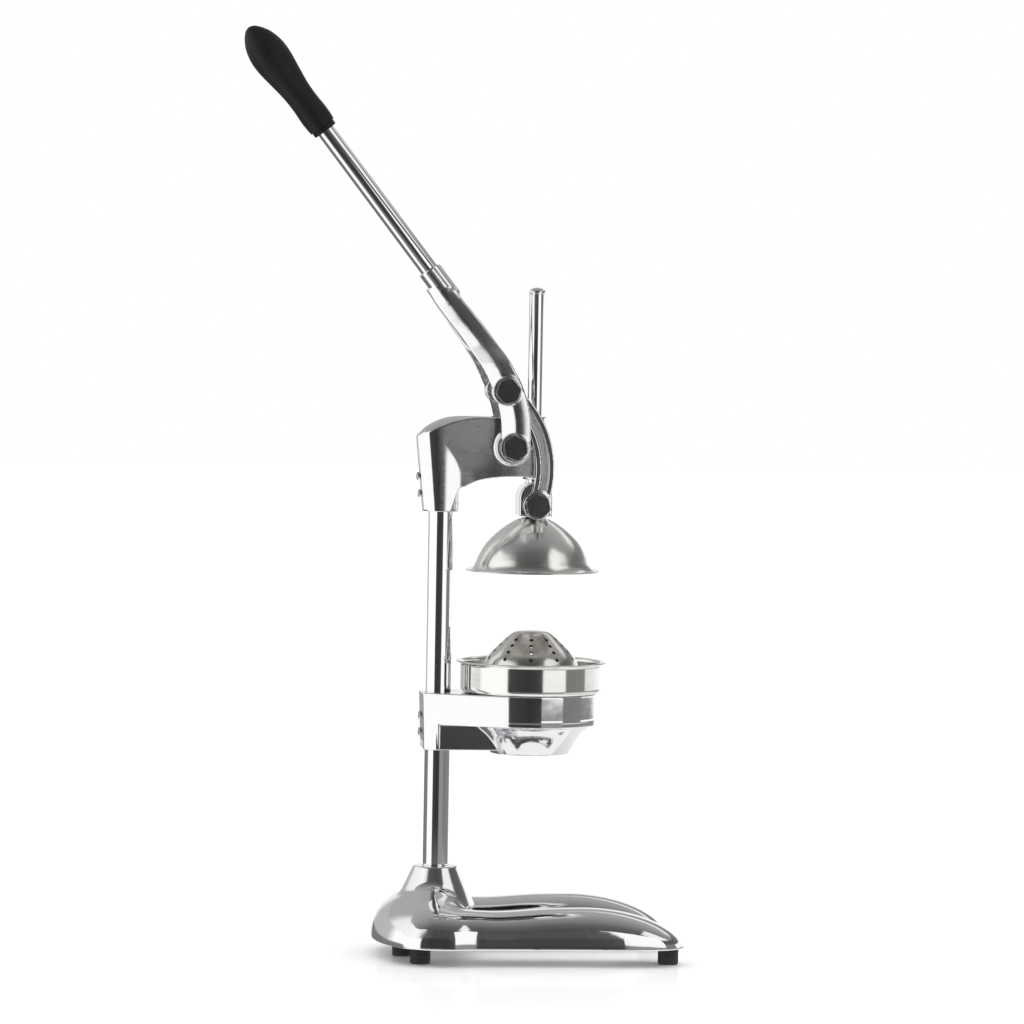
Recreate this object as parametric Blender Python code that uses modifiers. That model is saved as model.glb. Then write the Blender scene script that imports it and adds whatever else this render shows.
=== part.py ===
"""Citrus press juicer: a lever press on a column, built as separate pieces.

Metres, +Z up. +X points to the front, where the glass stands and the lever is pulled; the
plane Y = 0 is the press's middle plane. The origin is on the table, under the middle of the
whole press's box. The functions below work from the column's axis, and every piece hangs from
an empty that stands on the axis of the body that it belongs to.
"""

import math

import bmesh
import bpy
from mathutils import Matrix, Vector

MM = 0.001
GAP = 0.3 * MM  # running gap between pieces that touch

# The column's axis, seen from the origin: the grip reaches back, the base reaches forward.
COLUMN_X = -15.6 * MM

# Column
COLUMN_RADIUS = 10.0 * MM
COLUMN_BORE = 7.7 * MM
COLUMN_BOTTOM = 30.3 * MM
COLUMN_TOP = 402.0 * MM
SOCKET_RADIUS = COLUMN_RADIUS + GAP

# Base
BASE_BOTTOM = 13.5 * MM
BASE_FRONT = 190.6 * MM
BASE_REAR = -46.0 * MM
BASE_WALL = 4.0 * MM
LEG_HEIGHT = 30.0 * MM
REAR_DOME = (37.0 * MM, 60.0 * MM, 39.5 * MM)
REAR_DOME_X = -10.0 * MM
BOSS_TOP = 71.5 * MM
WEB_BOTTOM = 22.6 * MM
BOLT_HOLE = 4.3 * MM
FOOT_RADIUS = 8.0 * MM
FOOT_SCREW_HOLE = 2.3 * MM
FEET = {
    "rear_left": (-16.4 * MM, 52.0 * MM),
    "rear_right": (-16.4 * MM, -52.0 * MM),
    "rear_centre": (-25.0 * MM, 0.0),
    "front_left": (178.5 * MM, 52.0 * MM),
    "front_right": (178.5 * MM, -52.0 * MM),
}

# Ram, cup and ring share one vertical axis in front of the column.
RAM_X = 73.0 * MM
ROD_RADIUS = 6.25 * MM
ROD_TOP = 522.0 * MM
ROD_SHOULDER = 347.0 * MM
STUD_RADIUS = 4.0 * MM
STUD_BOTTOM = 336.5 * MM
CAP_RADIUS = 7.0 * MM
BLOCK_HALF_X = 13.2 * MM
BLOCK_HALF_Y = 16.0 * MM
BLOCK_BOTTOM = 347.1 * MM

# Holder
HOLDER_BOTTOM = 163.5 * MM
BAND_BOTTOM = 183.5 * MM
HOLDER_TOP = 208.3 * MM
CLAMP_BACK = -13.4 * MM
CLAMP_HALF = 14.0 * MM
CLAMP_FRONT = -1.0 * MM
WEB_HALF = 18.0 * MM
RING_RADIUS = 52.0 * MM
RING_BORE = 48.4 * MM
HOLDER_SCREWS = (177.0 * MM, 190.0 * MM)

# Strainer: the cone's holes as (radius, height)
HOLE_COLUMNS = 10
CONE_HOLES = ((20.6 * MM, 250 * MM), (25.6 * MM, 245.7 * MM), (30.6 * MM, 240.6 * MM), (35 * MM, 235 * MM))

# Head
HEAD_BOTTOM = 350.0 * MM
HEAD_TOP = 425.0 * MM
HEAD_HALF = 14.5 * MM
NOSE_BOTTOM = 375.8 * MM
NOSE_RADIUS = 9.0 * MM
BUSH_RADIUS = 7.4 * MM
HEAD_SCREWS = (364.0 * MM, 377.5 * MM)

# Linkage pivots in the middle plane, as (X, Z)
LEVER_PIVOT = (53.4 * MM, 401.6 * MM)
UPPER_PIVOT = (47.1 * MM, 445.7 * MM)
LOWER_PIVOT = (RAM_X, 356.2 * MM)
CHEEK_HALF = 25.2 * MM
CHEEK_RADIUS = 13.4 * MM
BOLT_RADIUS = 6.0 * MM
BOLT_BORE = BOLT_RADIUS + GAP
HEX_RADIUS = 18.0 * MM / math.sqrt(3)
HEX_HEIGHT = 6.5 * MM
LINK_INNER = 16.3 * MM
LINK_OUTER = 25.0 * MM
LINK_WIDTH = 14.5 * MM
LINK_THICKNESS = 7.7 * MM
LINK_BOSS = 11.0 * MM
LINK_ARC_RADIUS = 74.7 * MM
ARM_INNER = 25.5 * MM
ARM_OUTER = 33.5 * MM
ARM_THICKNESS = 7.4 * MM

# Handle: a straight rod that leans back from the fork's socket
HANDLE_ROOT = (-3.8 * MM, 527.6 * MM)
HANDLE_LEAN = math.radians(37.8)
HANDLE_RADIUS = 7.0 * MM
FERRULE_RADIUS = 9.15 * MM
GRIP_START = 154.3 * MM
GRIP_LENGTH = 96.0 * MM

# Finishes: colour, metallic, roughness
CAST = ((0.80, 0.81, 0.83), 1.0, 0.12)
CHROME = ((0.86, 0.87, 0.88), 1.0, 0.05)
STEEL = ((0.70, 0.69, 0.67), 1.0, 0.25)
BOLT = ((0.45, 0.46, 0.47), 1.0, 0.20)
BRONZE = ((0.62, 0.45, 0.22), 1.0, 0.35)
RUBBER = ((0.02, 0.02, 0.02), 0.0, 0.75)
PLASTIC = ((0.015, 0.015, 0.015), 0.0, 0.45)

ROUND_STEPS = 28
SMALL_STEPS = 16
SHARP_ANGLE = math.radians(35)


# ---------------------------------------------------------------- scene and helpers


def clear_scene():
    for obj in list(bpy.data.objects):
        bpy.data.objects.remove(obj, do_unlink=True)


def make_collection(name, hidden=False):
    collection = bpy.data.collections.new(name)
    collection.hide_render = hidden
    bpy.context.scene.collection.children.link(collection)
    return collection


def make_axis(name, x, z, parent=None):
    """An empty on the axis of one body; x and z are measured from the column's foot."""
    axis = bpy.data.objects.new(name, None)
    axis.empty_display_size = 20 * MM
    PARTS.objects.link(axis)
    axis.location = (x, 0.0, z)
    if parent:
        axis.parent = parent
        axis.location -= world_place(parent)
    return axis


def world_place(obj):
    place = obj.location.copy()
    while obj.parent:
        obj = obj.parent
        place += obj.location
    return place - Vector((COLUMN_X, 0.0, 0.0))


def finish_mesh(name, bm, helper=False):
    """Turns a bmesh into an object in the cutters' or the pieces' collection."""
    bmesh.ops.recalc_face_normals(bm, faces=bm.faces)
    mesh = bpy.data.meshes.new(name)
    bm.to_mesh(mesh)
    bm.free()
    return add_object(name, mesh, helper)


def add_object(name, mesh, helper):
    obj = bpy.data.objects.new(name, mesh)
    obj.location = (COLUMN_X, 0.0, 0.0)
    if helper:
        CUTTERS.objects.link(obj)
        obj.hide_render = True
        obj.display_type = "WIRE"
    else:
        PARTS.objects.link(obj)
    return obj


def give_material(obj, finish):
    colour, metallic, roughness = finish
    material = bpy.data.materials.new(obj.name)
    material.use_nodes = True
    shader = material.node_tree.nodes["Principled BSDF"]
    shader.inputs["Base Color"].default_value = (*colour, 1.0)
    shader.inputs["Metallic"].default_value = metallic
    shader.inputs["Roughness"].default_value = roughness
    obj.data.materials.append(material)


def complete(obj, finish, axis):
    """Gives a piece its material and smooth shading, and hangs it from its body's empty."""
    give_material(obj, finish)
    if obj.data.polygons:
        obj.data.shade_smooth()
        obj.data.set_sharp_from_angle(angle=SHARP_ANGLE)
    obj.parent = axis
    obj.location -= Vector((COLUMN_X, 0.0, 0.0)) + world_place(axis)
    return obj


def combine(obj, other, operation):
    """Every operand is a closed mesh, which this solver needs; the exact one leaves slivers in the base."""
    modifier = obj.modifiers.new(other.name, "BOOLEAN")
    modifier.operation = operation
    modifier.solver = "MANIFOLD"
    modifier.object = other
    return obj


def join(obj, *others):
    for other in others:
        combine(obj, other, "UNION")
    return obj


def cut(obj, *others):
    for other in others:
        combine(obj, other, "DIFFERENCE")
    return obj


def turn_to(axis):
    """The rotation that takes +Z to the named axis."""
    if axis == "X":
        return Matrix.Rotation(math.pi / 2, 4, "Y")
    if axis == "Y":
        return Matrix.Rotation(-math.pi / 2, 4, "X")
    if axis == "HANDLE":
        return Matrix.Rotation(-HANDLE_LEAN, 4, "Y")
    return Matrix.Identity(4)


def cylinder(name, radius, low, high, at=(0.0, 0.0, 0.0), axis="Z", steps=SMALL_STEPS, helper=False):
    """A cylinder from low to high along an axis through the point at."""
    bm = bmesh.new()
    place = Matrix.Translation(at) @ turn_to(axis) @ Matrix.Translation((0, 0, (low + high) / 2))
    bmesh.ops.create_cone(
        bm, cap_ends=True, segments=steps, radius1=radius, radius2=radius, depth=high - low, matrix=place
    )
    return finish_mesh(name, bm, helper)


def block(name, low, high, bevel=0.0, helper=False):
    bm = bmesh.new()
    size = Vector(high) - Vector(low)
    place = Matrix.Translation((Vector(low) + Vector(high)) / 2) @ Matrix.Diagonal((*size, 1.0))
    bmesh.ops.create_cube(bm, size=1.0, matrix=place)
    obj = finish_mesh(name, bm, helper)
    if bevel:
        modifier = obj.modifiers.new("rounded", "BEVEL")
        modifier.width = bevel
        modifier.segments = 2
    return obj


def turned(name, profile, at=(0.0, 0.0, 0.0), axis="Z", closed=False, steps=ROUND_STEPS, helper=False):
    """A Screw shape: the profile's (radius, height) points run down the outer side."""
    points = [(radius, 0.0, height) for radius, height in profile]
    edges = [(i, i + 1) for i in range(len(points) - 1)]
    if closed:
        edges.append((len(points) - 1, 0))
    mesh = bpy.data.meshes.new(name)
    mesh.from_pydata(points, edges, [])
    obj = add_object(name, mesh, helper)
    obj.matrix_world = Matrix.Translation(Vector(at) + obj.location) @ turn_to(axis)
    screw = obj.modifiers.new("turned", "SCREW")
    screw.steps = steps
    screw.render_steps = steps
    screw.use_merge_vertices = True
    screw.merge_threshold = 0.00001
    return obj


def arc(centre, radius, start, end, steps):
    """Points on an arc in a profile's plane, angles in degrees."""
    points = []
    for i in range(steps + 1):
        angle = math.radians(start + (end - start) * i / steps)
        points.append((centre[0] + radius * math.cos(angle), centre[1] + radius * math.sin(angle)))
    return points


def prism(name, outline, low, high, axis="Z", bevel=0.0, helper=False):
    """A flat outline with thickness, from a 2D curve; axis Y stands it up in the middle plane."""
    curve = bpy.data.curves.new(name, "CURVE")
    curve.dimensions = "2D"
    curve.fill_mode = "BOTH"
    curve.extrude = (high - low) / 2
    spline = curve.splines.new("POLY")
    spline.points.add(len(outline) - 1)
    for point, (u, v) in zip(spline.points, outline):
        point.co = (u, v, 0.0, 1.0)
    spline.use_cyclic_u = True
    flat = bpy.data.objects.new(name + "_outline", curve)
    CUTTERS.objects.link(flat)
    bpy.context.view_layer.update()
    evaluated = flat.evaluated_get(bpy.context.evaluated_depsgraph_get())
    mesh = bpy.data.meshes.new_from_object(evaluated)
    bpy.data.objects.remove(flat, do_unlink=True)
    stand = Matrix.Translation((0, 0, (low + high) / 2))
    if axis == "Y":
        stand = Matrix.Rotation(math.pi / 2, 4, "X") @ stand
    bm = bmesh.new()
    bm.from_mesh(mesh)
    bpy.data.meshes.remove(mesh)
    bmesh.ops.remove_doubles(bm, verts=bm.verts, dist=0.00001)
    bmesh.ops.dissolve_limit(bm, angle_limit=0.001, verts=bm.verts, edges=bm.edges)
    bmesh.ops.transform(bm, matrix=stand, verts=bm.verts)
    obj = finish_mesh(name, bm, helper)
    if bevel:
        modifier = obj.modifiers.new("rounded", "BEVEL")
        modifier.width = bevel
        modifier.segments = 2
        modifier.limit_method = "ANGLE"
        modifier.angle_limit = math.radians(50)
    return obj


def loft(name, rings, helper=False):
    """A skin through rings of equally many points, capped at both ends."""
    bm = bmesh.new()
    rows = [[bm.verts.new(point) for point in ring] for ring in rings]
    for row, following in zip(rows, rows[1:]):
        for i, vertex in enumerate(row):
            j = (i + 1) % len(row)
            bm.faces.new((vertex, row[j], following[j], following[i]))
    bm.faces.new(rows[0])
    bm.faces.new(rows[-1])
    return finish_mesh(name, bm, helper)


def bar_rings(stations, corner):
    """Rounded-rectangle sections across a path (x, y, z, width, thickness) beside the middle plane."""
    rings = []
    for i, (x, y, z, width, thickness) in enumerate(stations):
        before = stations[max(i - 1, 0)]
        after = stations[min(i + 1, len(stations) - 1)]
        along = Vector((after[0] - before[0], 0.0, after[2] - before[2])).normalized()
        across = Vector((along.z, 0.0, -along.x))
        half_w, half_t = width / 2, thickness / 2
        flat = (
            (half_w, half_t - corner),
            (half_w - corner, half_t),
            (corner - half_w, half_t),
            (-half_w, half_t - corner),
            (-half_w, corner - half_t),
            (corner - half_w, -half_t),
            (half_w - corner, -half_t),
            (half_w, corner - half_t),
        )
        rings.append([Vector((x, y + t, z)) + across * w for w, t in flat])
    return rings


# ---------------------------------------------------------------- base, feet and column


def leg_section(x):
    """Centre line, half width and height of a base leg at x."""
    rear = min(1.0, max(0.0, (x - BASE_REAR) / (36 * MM)))
    nose = min(1.0, max(0.0, (x - 110 * MM) / (BASE_FRONT - 110 * MM)))
    waist = math.cos(math.pi * min(1.0, max(0.0, (x + 10 * MM) / (160 * MM))) * 2) / 2 + 0.5
    rear_close = math.sqrt(1 - (1 - rear) ** 2)
    half_width = (27 * MM + 4 * MM * waist) * rear_close * (1 - nose**4) ** 0.5
    height = (LEG_HEIGHT - 3 * MM * (1 - nose) * max(0.0, 1 - max(x, 0.0) / (110 * MM))) * rear_close
    height *= (1 - nose**2) ** 0.6
    return (52 + 2.5 * waist) * MM, half_width, height


def leg_rings(side, inset):
    """Half-ellipse sections along one leg; inset shrinks them, for the hollow underneath."""
    rings = []
    count = 16
    first, last = BASE_REAR + inset, BASE_FRONT - inset
    for i in range(count + 1):
        spread = 0.5 - 0.5 * math.cos(math.pi * i / count)
        x = first + (last - first) * (0.002 + 0.996 * spread)
        centre, half_width, height = leg_section(x)
        half_width = max(half_width - inset, 0.6 * MM)
        height = max(height - inset, 0.6 * MM)
        ring = [Vector((x, side * centre + half_width, BASE_BOTTOM - 8 * MM))]
        for k in range(9):
            angle = math.pi * k / 8
            across, up = half_width * math.cos(angle), height * math.sin(angle)
            ring.append(Vector((x, side * centre + across, BASE_BOTTOM + up)))
        ring.append(Vector((x, side * centre - half_width, BASE_BOTTOM - 8 * MM)))
        rings.append(ring)
    return rings


def rear_dome(name, inset):
    bm = bmesh.new()
    sizes = [size - inset for size in REAR_DOME]
    place = Matrix.Translation((REAR_DOME_X, 0, BASE_BOTTOM)) @ Matrix.Diagonal((*sizes, 1.0))
    bmesh.ops.create_uvsphere(bm, u_segments=24, v_segments=10, radius=1.0, matrix=place)
    return finish_mesh(name, bm, helper=True)


def make_base(axis):
    base = loft("base", leg_rings(1, 0.0))
    skirt = [(0, BOSS_TOP), (16.6 * MM, BOSS_TOP), (17.8 * MM, 70.6 * MM), (22 * MM, 62 * MM)]
    skirt += [(24.6 * MM, 55 * MM), (28 * MM, 49 * MM), (33 * MM, 44 * MM), (33 * MM, 20 * MM), (0, 20 * MM)]
    join(base, loft("right_leg", leg_rings(-1, 0.0), helper=True))
    join(base, rear_dome("rear_of_base", 0.0), turned("boss_skirt", skirt, helper=True))
    cut(base, loft("left_hollow", leg_rings(1, BASE_WALL), helper=True))
    cut(base, loft("right_hollow", leg_rings(-1, BASE_WALL), helper=True))
    cut(base, rear_dome("rear_hollow", BASE_WALL))
    join(base, cylinder("column_post", 16 * MM, WEB_BOTTOM, 60 * MM, helper=True))
    for name, (x, y) in FEET.items():
        top = BASE_BOTTOM + (leg_section(x + 8 * MM)[2] - 2 * MM if y else REAR_DOME[2] - 6 * MM)
        join(base, cylinder("post_" + name, 7.5 * MM, 10 * MM, top, at=(x, y, 0), helper=True))
    cut(base, block("table_cut", (-0.1, -0.15, -0.05), (0.25, 0.15, BASE_BOTTOM), helper=True))
    cut(base, cylinder("column_seat", SOCKET_RADIUS, 30 * MM, 80 * MM, steps=ROUND_STEPS, helper=True))
    cut(base, cylinder("bolt_way", BOLT_HOLE, 15 * MM, 35 * MM, helper=True))
    for name, (x, y) in FEET.items():
        way = cylinder("way_" + name, FOOT_SCREW_HOLE, 5 * MM, 24 * MM, at=(x, y, 0), steps=12, helper=True)
        cut(base, way)
    complete(base, CAST, axis)


def make_feet(axis):
    """Rubber feet, each held up by a screw that sits in a recess in its underside."""
    top = BASE_BOTTOM - GAP
    for name, (x, y) in FEET.items():
        rubber = [(FOOT_SCREW_HOLE, top), (FOOT_RADIUS, top), (FOOT_RADIUS, 1 * MM), (7.2 * MM, 0)]
        rubber += [(4.4 * MM, 0), (4.4 * MM, 6 * MM), (FOOT_SCREW_HOLE, 6 * MM)]
        foot = turned("foot_" + name, rubber, at=(x, y, 0), closed=True, steps=SMALL_STEPS)
        complete(foot, RUBBER, axis)
        screw = [(0, 22 * MM), (2 * MM, 22 * MM), (2 * MM, 5.7 * MM), (4 * MM, 5.7 * MM)]
        screw += [(3.4 * MM, 3.4 * MM), (0, 3.2 * MM)]
        complete(turned("foot_screw_" + name, screw, at=(x, y, 0), steps=8), STEEL, axis)


def make_column(axis):
    column = cylinder("column", COLUMN_RADIUS, COLUMN_BOTTOM, COLUMN_TOP, steps=ROUND_STEPS)
    cut(column, cylinder("column_bore", COLUMN_BORE, 10 * MM, 420 * MM, steps=ROUND_STEPS, helper=True))
    complete(column, CHROME, axis)
    plug_radius = COLUMN_BORE - GAP
    plug = [(BOLT_HOLE, 52 * MM), (plug_radius, 52 * MM), (plug_radius, 30.6 * MM), (BOLT_HOLE, 30.6 * MM)]
    complete(turned("column_plug", plug, closed=True, steps=SMALL_STEPS), STEEL, axis)
    washer = [(BOLT_HOLE, 22.3 * MM), (9 * MM, 22.3 * MM), (9 * MM, 20.8 * MM), (BOLT_HOLE, 20.8 * MM)]
    complete(turned("base_washer", washer, closed=True, steps=SMALL_STEPS), STEEL, axis)
    bolt = cylinder("base_bolt", 7.5 * MM, 15.5 * MM, 20.5 * MM, steps=6)
    join(bolt, cylinder("base_bolt_shank", STUD_RADIUS, 18 * MM, 48 * MM, helper=True))
    complete(bolt, BOLT, axis)


# ---------------------------------------------------------------- holder, cup and strainer


def ring_outline():
    """Plan of the arm and ring: two straight sides that run tangent to the ring."""
    corner = Vector((CLAMP_BACK, CLAMP_HALF))
    to_corner = corner - Vector((RAM_X, 0.0))
    tangent = math.atan2(to_corner.y, to_corner.x) - math.acos(RING_RADIUS / to_corner.length)
    angle = math.degrees(tangent)
    return [tuple(corner)] + arc((RAM_X, 0.0), RING_RADIUS, angle, -angle, 30) + [(corner.x, -corner.y)]


def make_holder(axis):
    holder = prism("holder", ring_outline(), BAND_BOTTOM, HOLDER_TOP)
    web_back = CLAMP_FRONT - 2 * MM
    web = block("web", (web_back, -WEB_HALF, HOLDER_BOTTOM), (34 * MM, WEB_HALF, 187 * MM), helper=True)
    funnel = [(0, 186 * MM), (46.5 * MM, 186 * MM), (46.5 * MM, 182 * MM), (40.5 * MM, 176.2 * MM)]
    funnel += [(34.6 * MM, 167.7 * MM), (31 * MM, 160.5 * MM), (0, 160.5 * MM)]
    corner, tangent = ring_outline()[:2]
    flare = CLAMP_HALF + (CLAMP_FRONT - CLAMP_BACK) * (tangent[1] - corner[1]) / (tangent[0] - corner[0])
    plan = [corner, (CLAMP_FRONT, flare), (CLAMP_FRONT, -flare), (corner[0], -corner[1])]
    clamp = prism("clamp", plan, HOLDER_BOTTOM, BAND_BOTTOM + 2 * MM, helper=True)
    join(holder, clamp, web, turned("funnel", funnel, at=(RAM_X, 0, 0), helper=True))
    hollow = [(0, 212 * MM), (RING_BORE, 212 * MM), (RING_BORE, 188.5 * MM), (43.5 * MM, 184.5 * MM)]
    hollow += [(37.2 * MM, 177.6 * MM), (31.4 * MM, 169 * MM), (27.6 * MM, 158 * MM), (0, 158 * MM)]
    cut(holder, turned("funnel_hollow", hollow, at=(RAM_X, 0, 0), helper=True))
    cut(holder, cylinder("clamp_bore", SOCKET_RADIUS, 0.15, 0.22, steps=ROUND_STEPS, helper=True))
    for number, height in enumerate(HOLDER_SCREWS, 1):
        cut(holder, screw_way(f"holder_way_{number}", height))
        make_back_screw(f"holder_screw_{number}", CLAMP_BACK, height, axis)
    complete(holder, CAST, axis)


def screw_way(name, height):
    return cylinder(name, FOOT_SCREW_HOLE, -40 * MM, -5 * MM, at=(0, 0, height), axis="X", steps=12, helper=True)


def make_back_screw(name, face, height, axis):
    """A pan-head screw that clamps a casting on the column from behind."""
    head = face - GAP
    profile = [(0, -SOCKET_RADIUS), (2 * MM, -SOCKET_RADIUS), (2 * MM, head), (3.4 * MM, head)]
    profile += [(3.2 * MM, head - 1.2 * MM), (2.0 * MM, head - 2.0 * MM), (0, head - 2.2 * MM)]
    complete(turned(name, profile, at=(0, 0, height), axis="X", steps=16), STEEL, axis)


def make_cup(axis):
    """A thin steel cup with a rolled rim; its step rests on the ring."""
    seat = HOLDER_TOP + GAP
    profile = [(56.5 * MM, 233.8 * MM), (59 * MM, 233.6 * MM), (60 * MM, 232.6 * MM), (59.2 * MM, 231.4 * MM)]
    profile += [(56.6 * MM, 231.4 * MM), (55.6 * MM, 230 * MM), (55.6 * MM, 212 * MM), (54.6 * MM, seat)]
    profile += [(48.1 * MM, seat), (48.1 * MM, 196 * MM), (47.1 * MM, 196 * MM), (47.1 * MM, seat + 1 * MM)]
    profile += [(54 * MM, seat + 1.2 * MM), (54.6 * MM, 212.4 * MM), (54.6 * MM, 231 * MM)]
    complete(turned("sieve_cup", profile, closed=True, at=(RAM_X, 0, 0)), STEEL, axis)


def make_strainer(axis):
    """A cone with four rings of holes, standing on a flat drain ring in the cup."""
    low = HOLDER_TOP + 3.3 * MM
    outer = [(0, 257 * MM), (8 * MM, 256.8 * MM), (14 * MM, 255.6 * MM), (27.9 * MM, 243.7 * MM)]
    outer += [(34.5 * MM, 236 * MM), (38.5 * MM, 226 * MM), (41.2 * MM, 213 * MM), (41.4 * MM, low)]
    inner = [(40.2 * MM, low), (37.4 * MM, 226 * MM), (33.5 * MM, 235.6 * MM)]
    inner += [(27.2 * MM, 243 * MM), (13.6 * MM, 254.5 * MM), (7.9 * MM, 255.7 * MM), (0, 255.9 * MM)]
    cone = turned("strainer_cone", outer + inner, at=(RAM_X, 0, 0), steps=30)
    holes = bmesh.new()
    for radius, height in CONE_HOLES:
        lean = Matrix.Rotation(math.radians(46), 4, "Y")
        add_hole_ring(holes, Matrix.Translation((radius, 0, height)) @ lean, 1.6 * MM)
    cut(cone, finish_mesh("cone_holes", holes, helper=True))
    complete(cone, STEEL, axis)

    low = HOLDER_TOP + 1.8 * MM
    high = low + 1.2 * MM
    ring = [(36 * MM, high), (53.3 * MM, high), (53.3 * MM, low), (36 * MM, low)]
    drain = turned("drain_ring", ring, at=(RAM_X, 0, 0), closed=True, steps=30)
    holes = bmesh.new()
    add_hole_ring(holes, Matrix.Translation((45.5 * MM, 0, low)), 1.8 * MM)
    cut(drain, finish_mesh("drain_holes", holes, helper=True))
    complete(drain, STEEL, axis)


def add_hole_ring(bm, place, radius):
    """One hole cutter for each column of holes, turned about the ram's axis."""
    for i in range(HOLE_COLUMNS):
        spin = Matrix.Rotation(2 * math.pi * i / HOLE_COLUMNS, 4, "Z")
        matrix = Matrix.Translation((RAM_X, 0, 0)) @ spin @ place
        bmesh.ops.create_cone(
            bm, cap_ends=True, segments=6, radius1=radius, radius2=radius, depth=8 * MM, matrix=matrix
        )


# ---------------------------------------------------------------- head and lever pivot


def make_head(axis):
    outline = [(-15, 350), (-20.8, 409), (-14, 415.7), (-6, 420.6), (4, 424), (13, 425), (RAM_X / MM, 425)]
    outline += [(RAM_X / MM, 379.3), (59.7, 379.2), (41.6, 377.7), (24.3, 373.5), (14.5, 368), (13.2, 350)]
    outline = [(x * MM, z * MM) for x, z in outline]
    head = prism("head", outline, -HEAD_HALF, HEAD_HALF, axis="Y", bevel=2.5 * MM)
    nose_cut = block("nose_cut", (RAM_X - 3 * MM, -0.05, 0.3), (0.2, 0.05, 0.5), helper=True)
    nose = cylinder(
        "nose", NOSE_RADIUS, NOSE_BOTTOM, HEAD_TOP, at=(RAM_X, 0, 0), steps=ROUND_STEPS, helper=True
    )
    pivot = (LEVER_PIVOT[0], 0, LEVER_PIVOT[1])
    cheeks = cylinder(
        "cheeks", CHEEK_RADIUS, -CHEEK_HALF, CHEEK_HALF, at=pivot, axis="Y", steps=ROUND_STEPS, helper=True
    )
    cut(head, nose_cut)
    join(head, nose, cheeks)
    cut(head, cylinder("head_socket", SOCKET_RADIUS, 0.33, COLUMN_TOP + GAP, steps=ROUND_STEPS, helper=True))
    guide = cylinder("nose_bore", BUSH_RADIUS + GAP, 0.37, 0.44, at=(RAM_X, 0, 0), steps=ROUND_STEPS, helper=True)
    cut(head, guide, bolt_way("head_way", LEVER_PIVOT))
    for number, height in enumerate(HEAD_SCREWS, 1):
        cut(head, screw_way(f"head_way_{number}", height))
        back = -15 * MM - (height - 350 * MM) * 5.8 / 59
        make_back_screw(f"head_screw_{number}", back - 0.2 * MM, height, axis)
    complete(head, CAST, axis)
    for name, low, high in (("upper", 410, 424.7), ("lower", 376.1, 394)):
        inner, outer = ROD_RADIUS + GAP, BUSH_RADIUS
        ring = [(inner, high * MM), (outer, high * MM), (outer, low * MM), (inner, low * MM)]
        bush = turned("guide_bush_" + name, ring, at=(RAM_X, 0, 0), closed=True, steps=SMALL_STEPS)
        complete(bush, BRONZE, axis)


def bolt_way(name, pivot):
    return cylinder(name, BOLT_BORE, -0.06, 0.06, at=(pivot[0], 0, pivot[1]), axis="Y", helper=True)


def hex_bolt(name, pivot, side, face, tip, finish, axis):
    """A hex bolt whose head sits on the outer face at |Y| = face and whose shank ends at |Y| = tip."""
    at = (pivot[0], 0, pivot[1])
    ends = sorted((side * (face + GAP), side * (face + GAP + HEX_HEIGHT)))
    bolt = cylinder(name, HEX_RADIUS, *ends, at=at, axis="Y", steps=6)
    ends = sorted((side * tip, side * (face + 3 * MM)))
    join(bolt, cylinder(name + "_shank", BOLT_RADIUS, *ends, at=at, axis="Y", helper=True))
    complete(bolt, finish, axis)


def hex_nut(name, pivot, side, low, high, radius, finish, axis):
    at = (pivot[0], 0, pivot[1])
    nut = cylinder(name, radius, *sorted((side * low, side * high)), at=at, axis="Y", steps=6)
    cut(nut, bolt_way(name + "_thread", pivot))
    complete(nut, finish, axis)


def make_pivot_bolt(axis):
    """One bolt runs through both fork arms and the head, with a nut on the left side."""
    hex_bolt("pivot_bolt", LEVER_PIVOT, -1, ARM_OUTER, -ARM_OUTER - 7.5 * MM, BOLT, axis)
    low = ARM_OUTER + GAP
    hex_nut("pivot_nut", LEVER_PIVOT, 1, low, low + HEX_HEIGHT, HEX_RADIUS, BOLT, axis)


# ---------------------------------------------------------------- lever and handle


def arm_stations(side):
    """The fork arm's centre line: straight by the pivots, then closing in above the ram's rod."""
    path = [(54.2, 29.5, 401.6, 23.5), (54.2, 29.5, 413, 23.5), (53.4, 29.5, 425.2, 23.5)]
    path += [(48, 29.5, 445.8, 23.5), (42, 29.5, 459, 22), (38.2, 27, 466.2, 21.5), (29.3, 18.8, 479.5, 20)]
    path += [(19, 13.8, 493.9, 19.5), (10.5, 12, 504.6, 19), (3.5, 11, 513.6, 18.5), (-2.5, 6, 522, 18)]
    return [(x * MM, side * y * MM, z * MM, w * MM, ARM_THICKNESS) for x, y, z, w in path]


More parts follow.
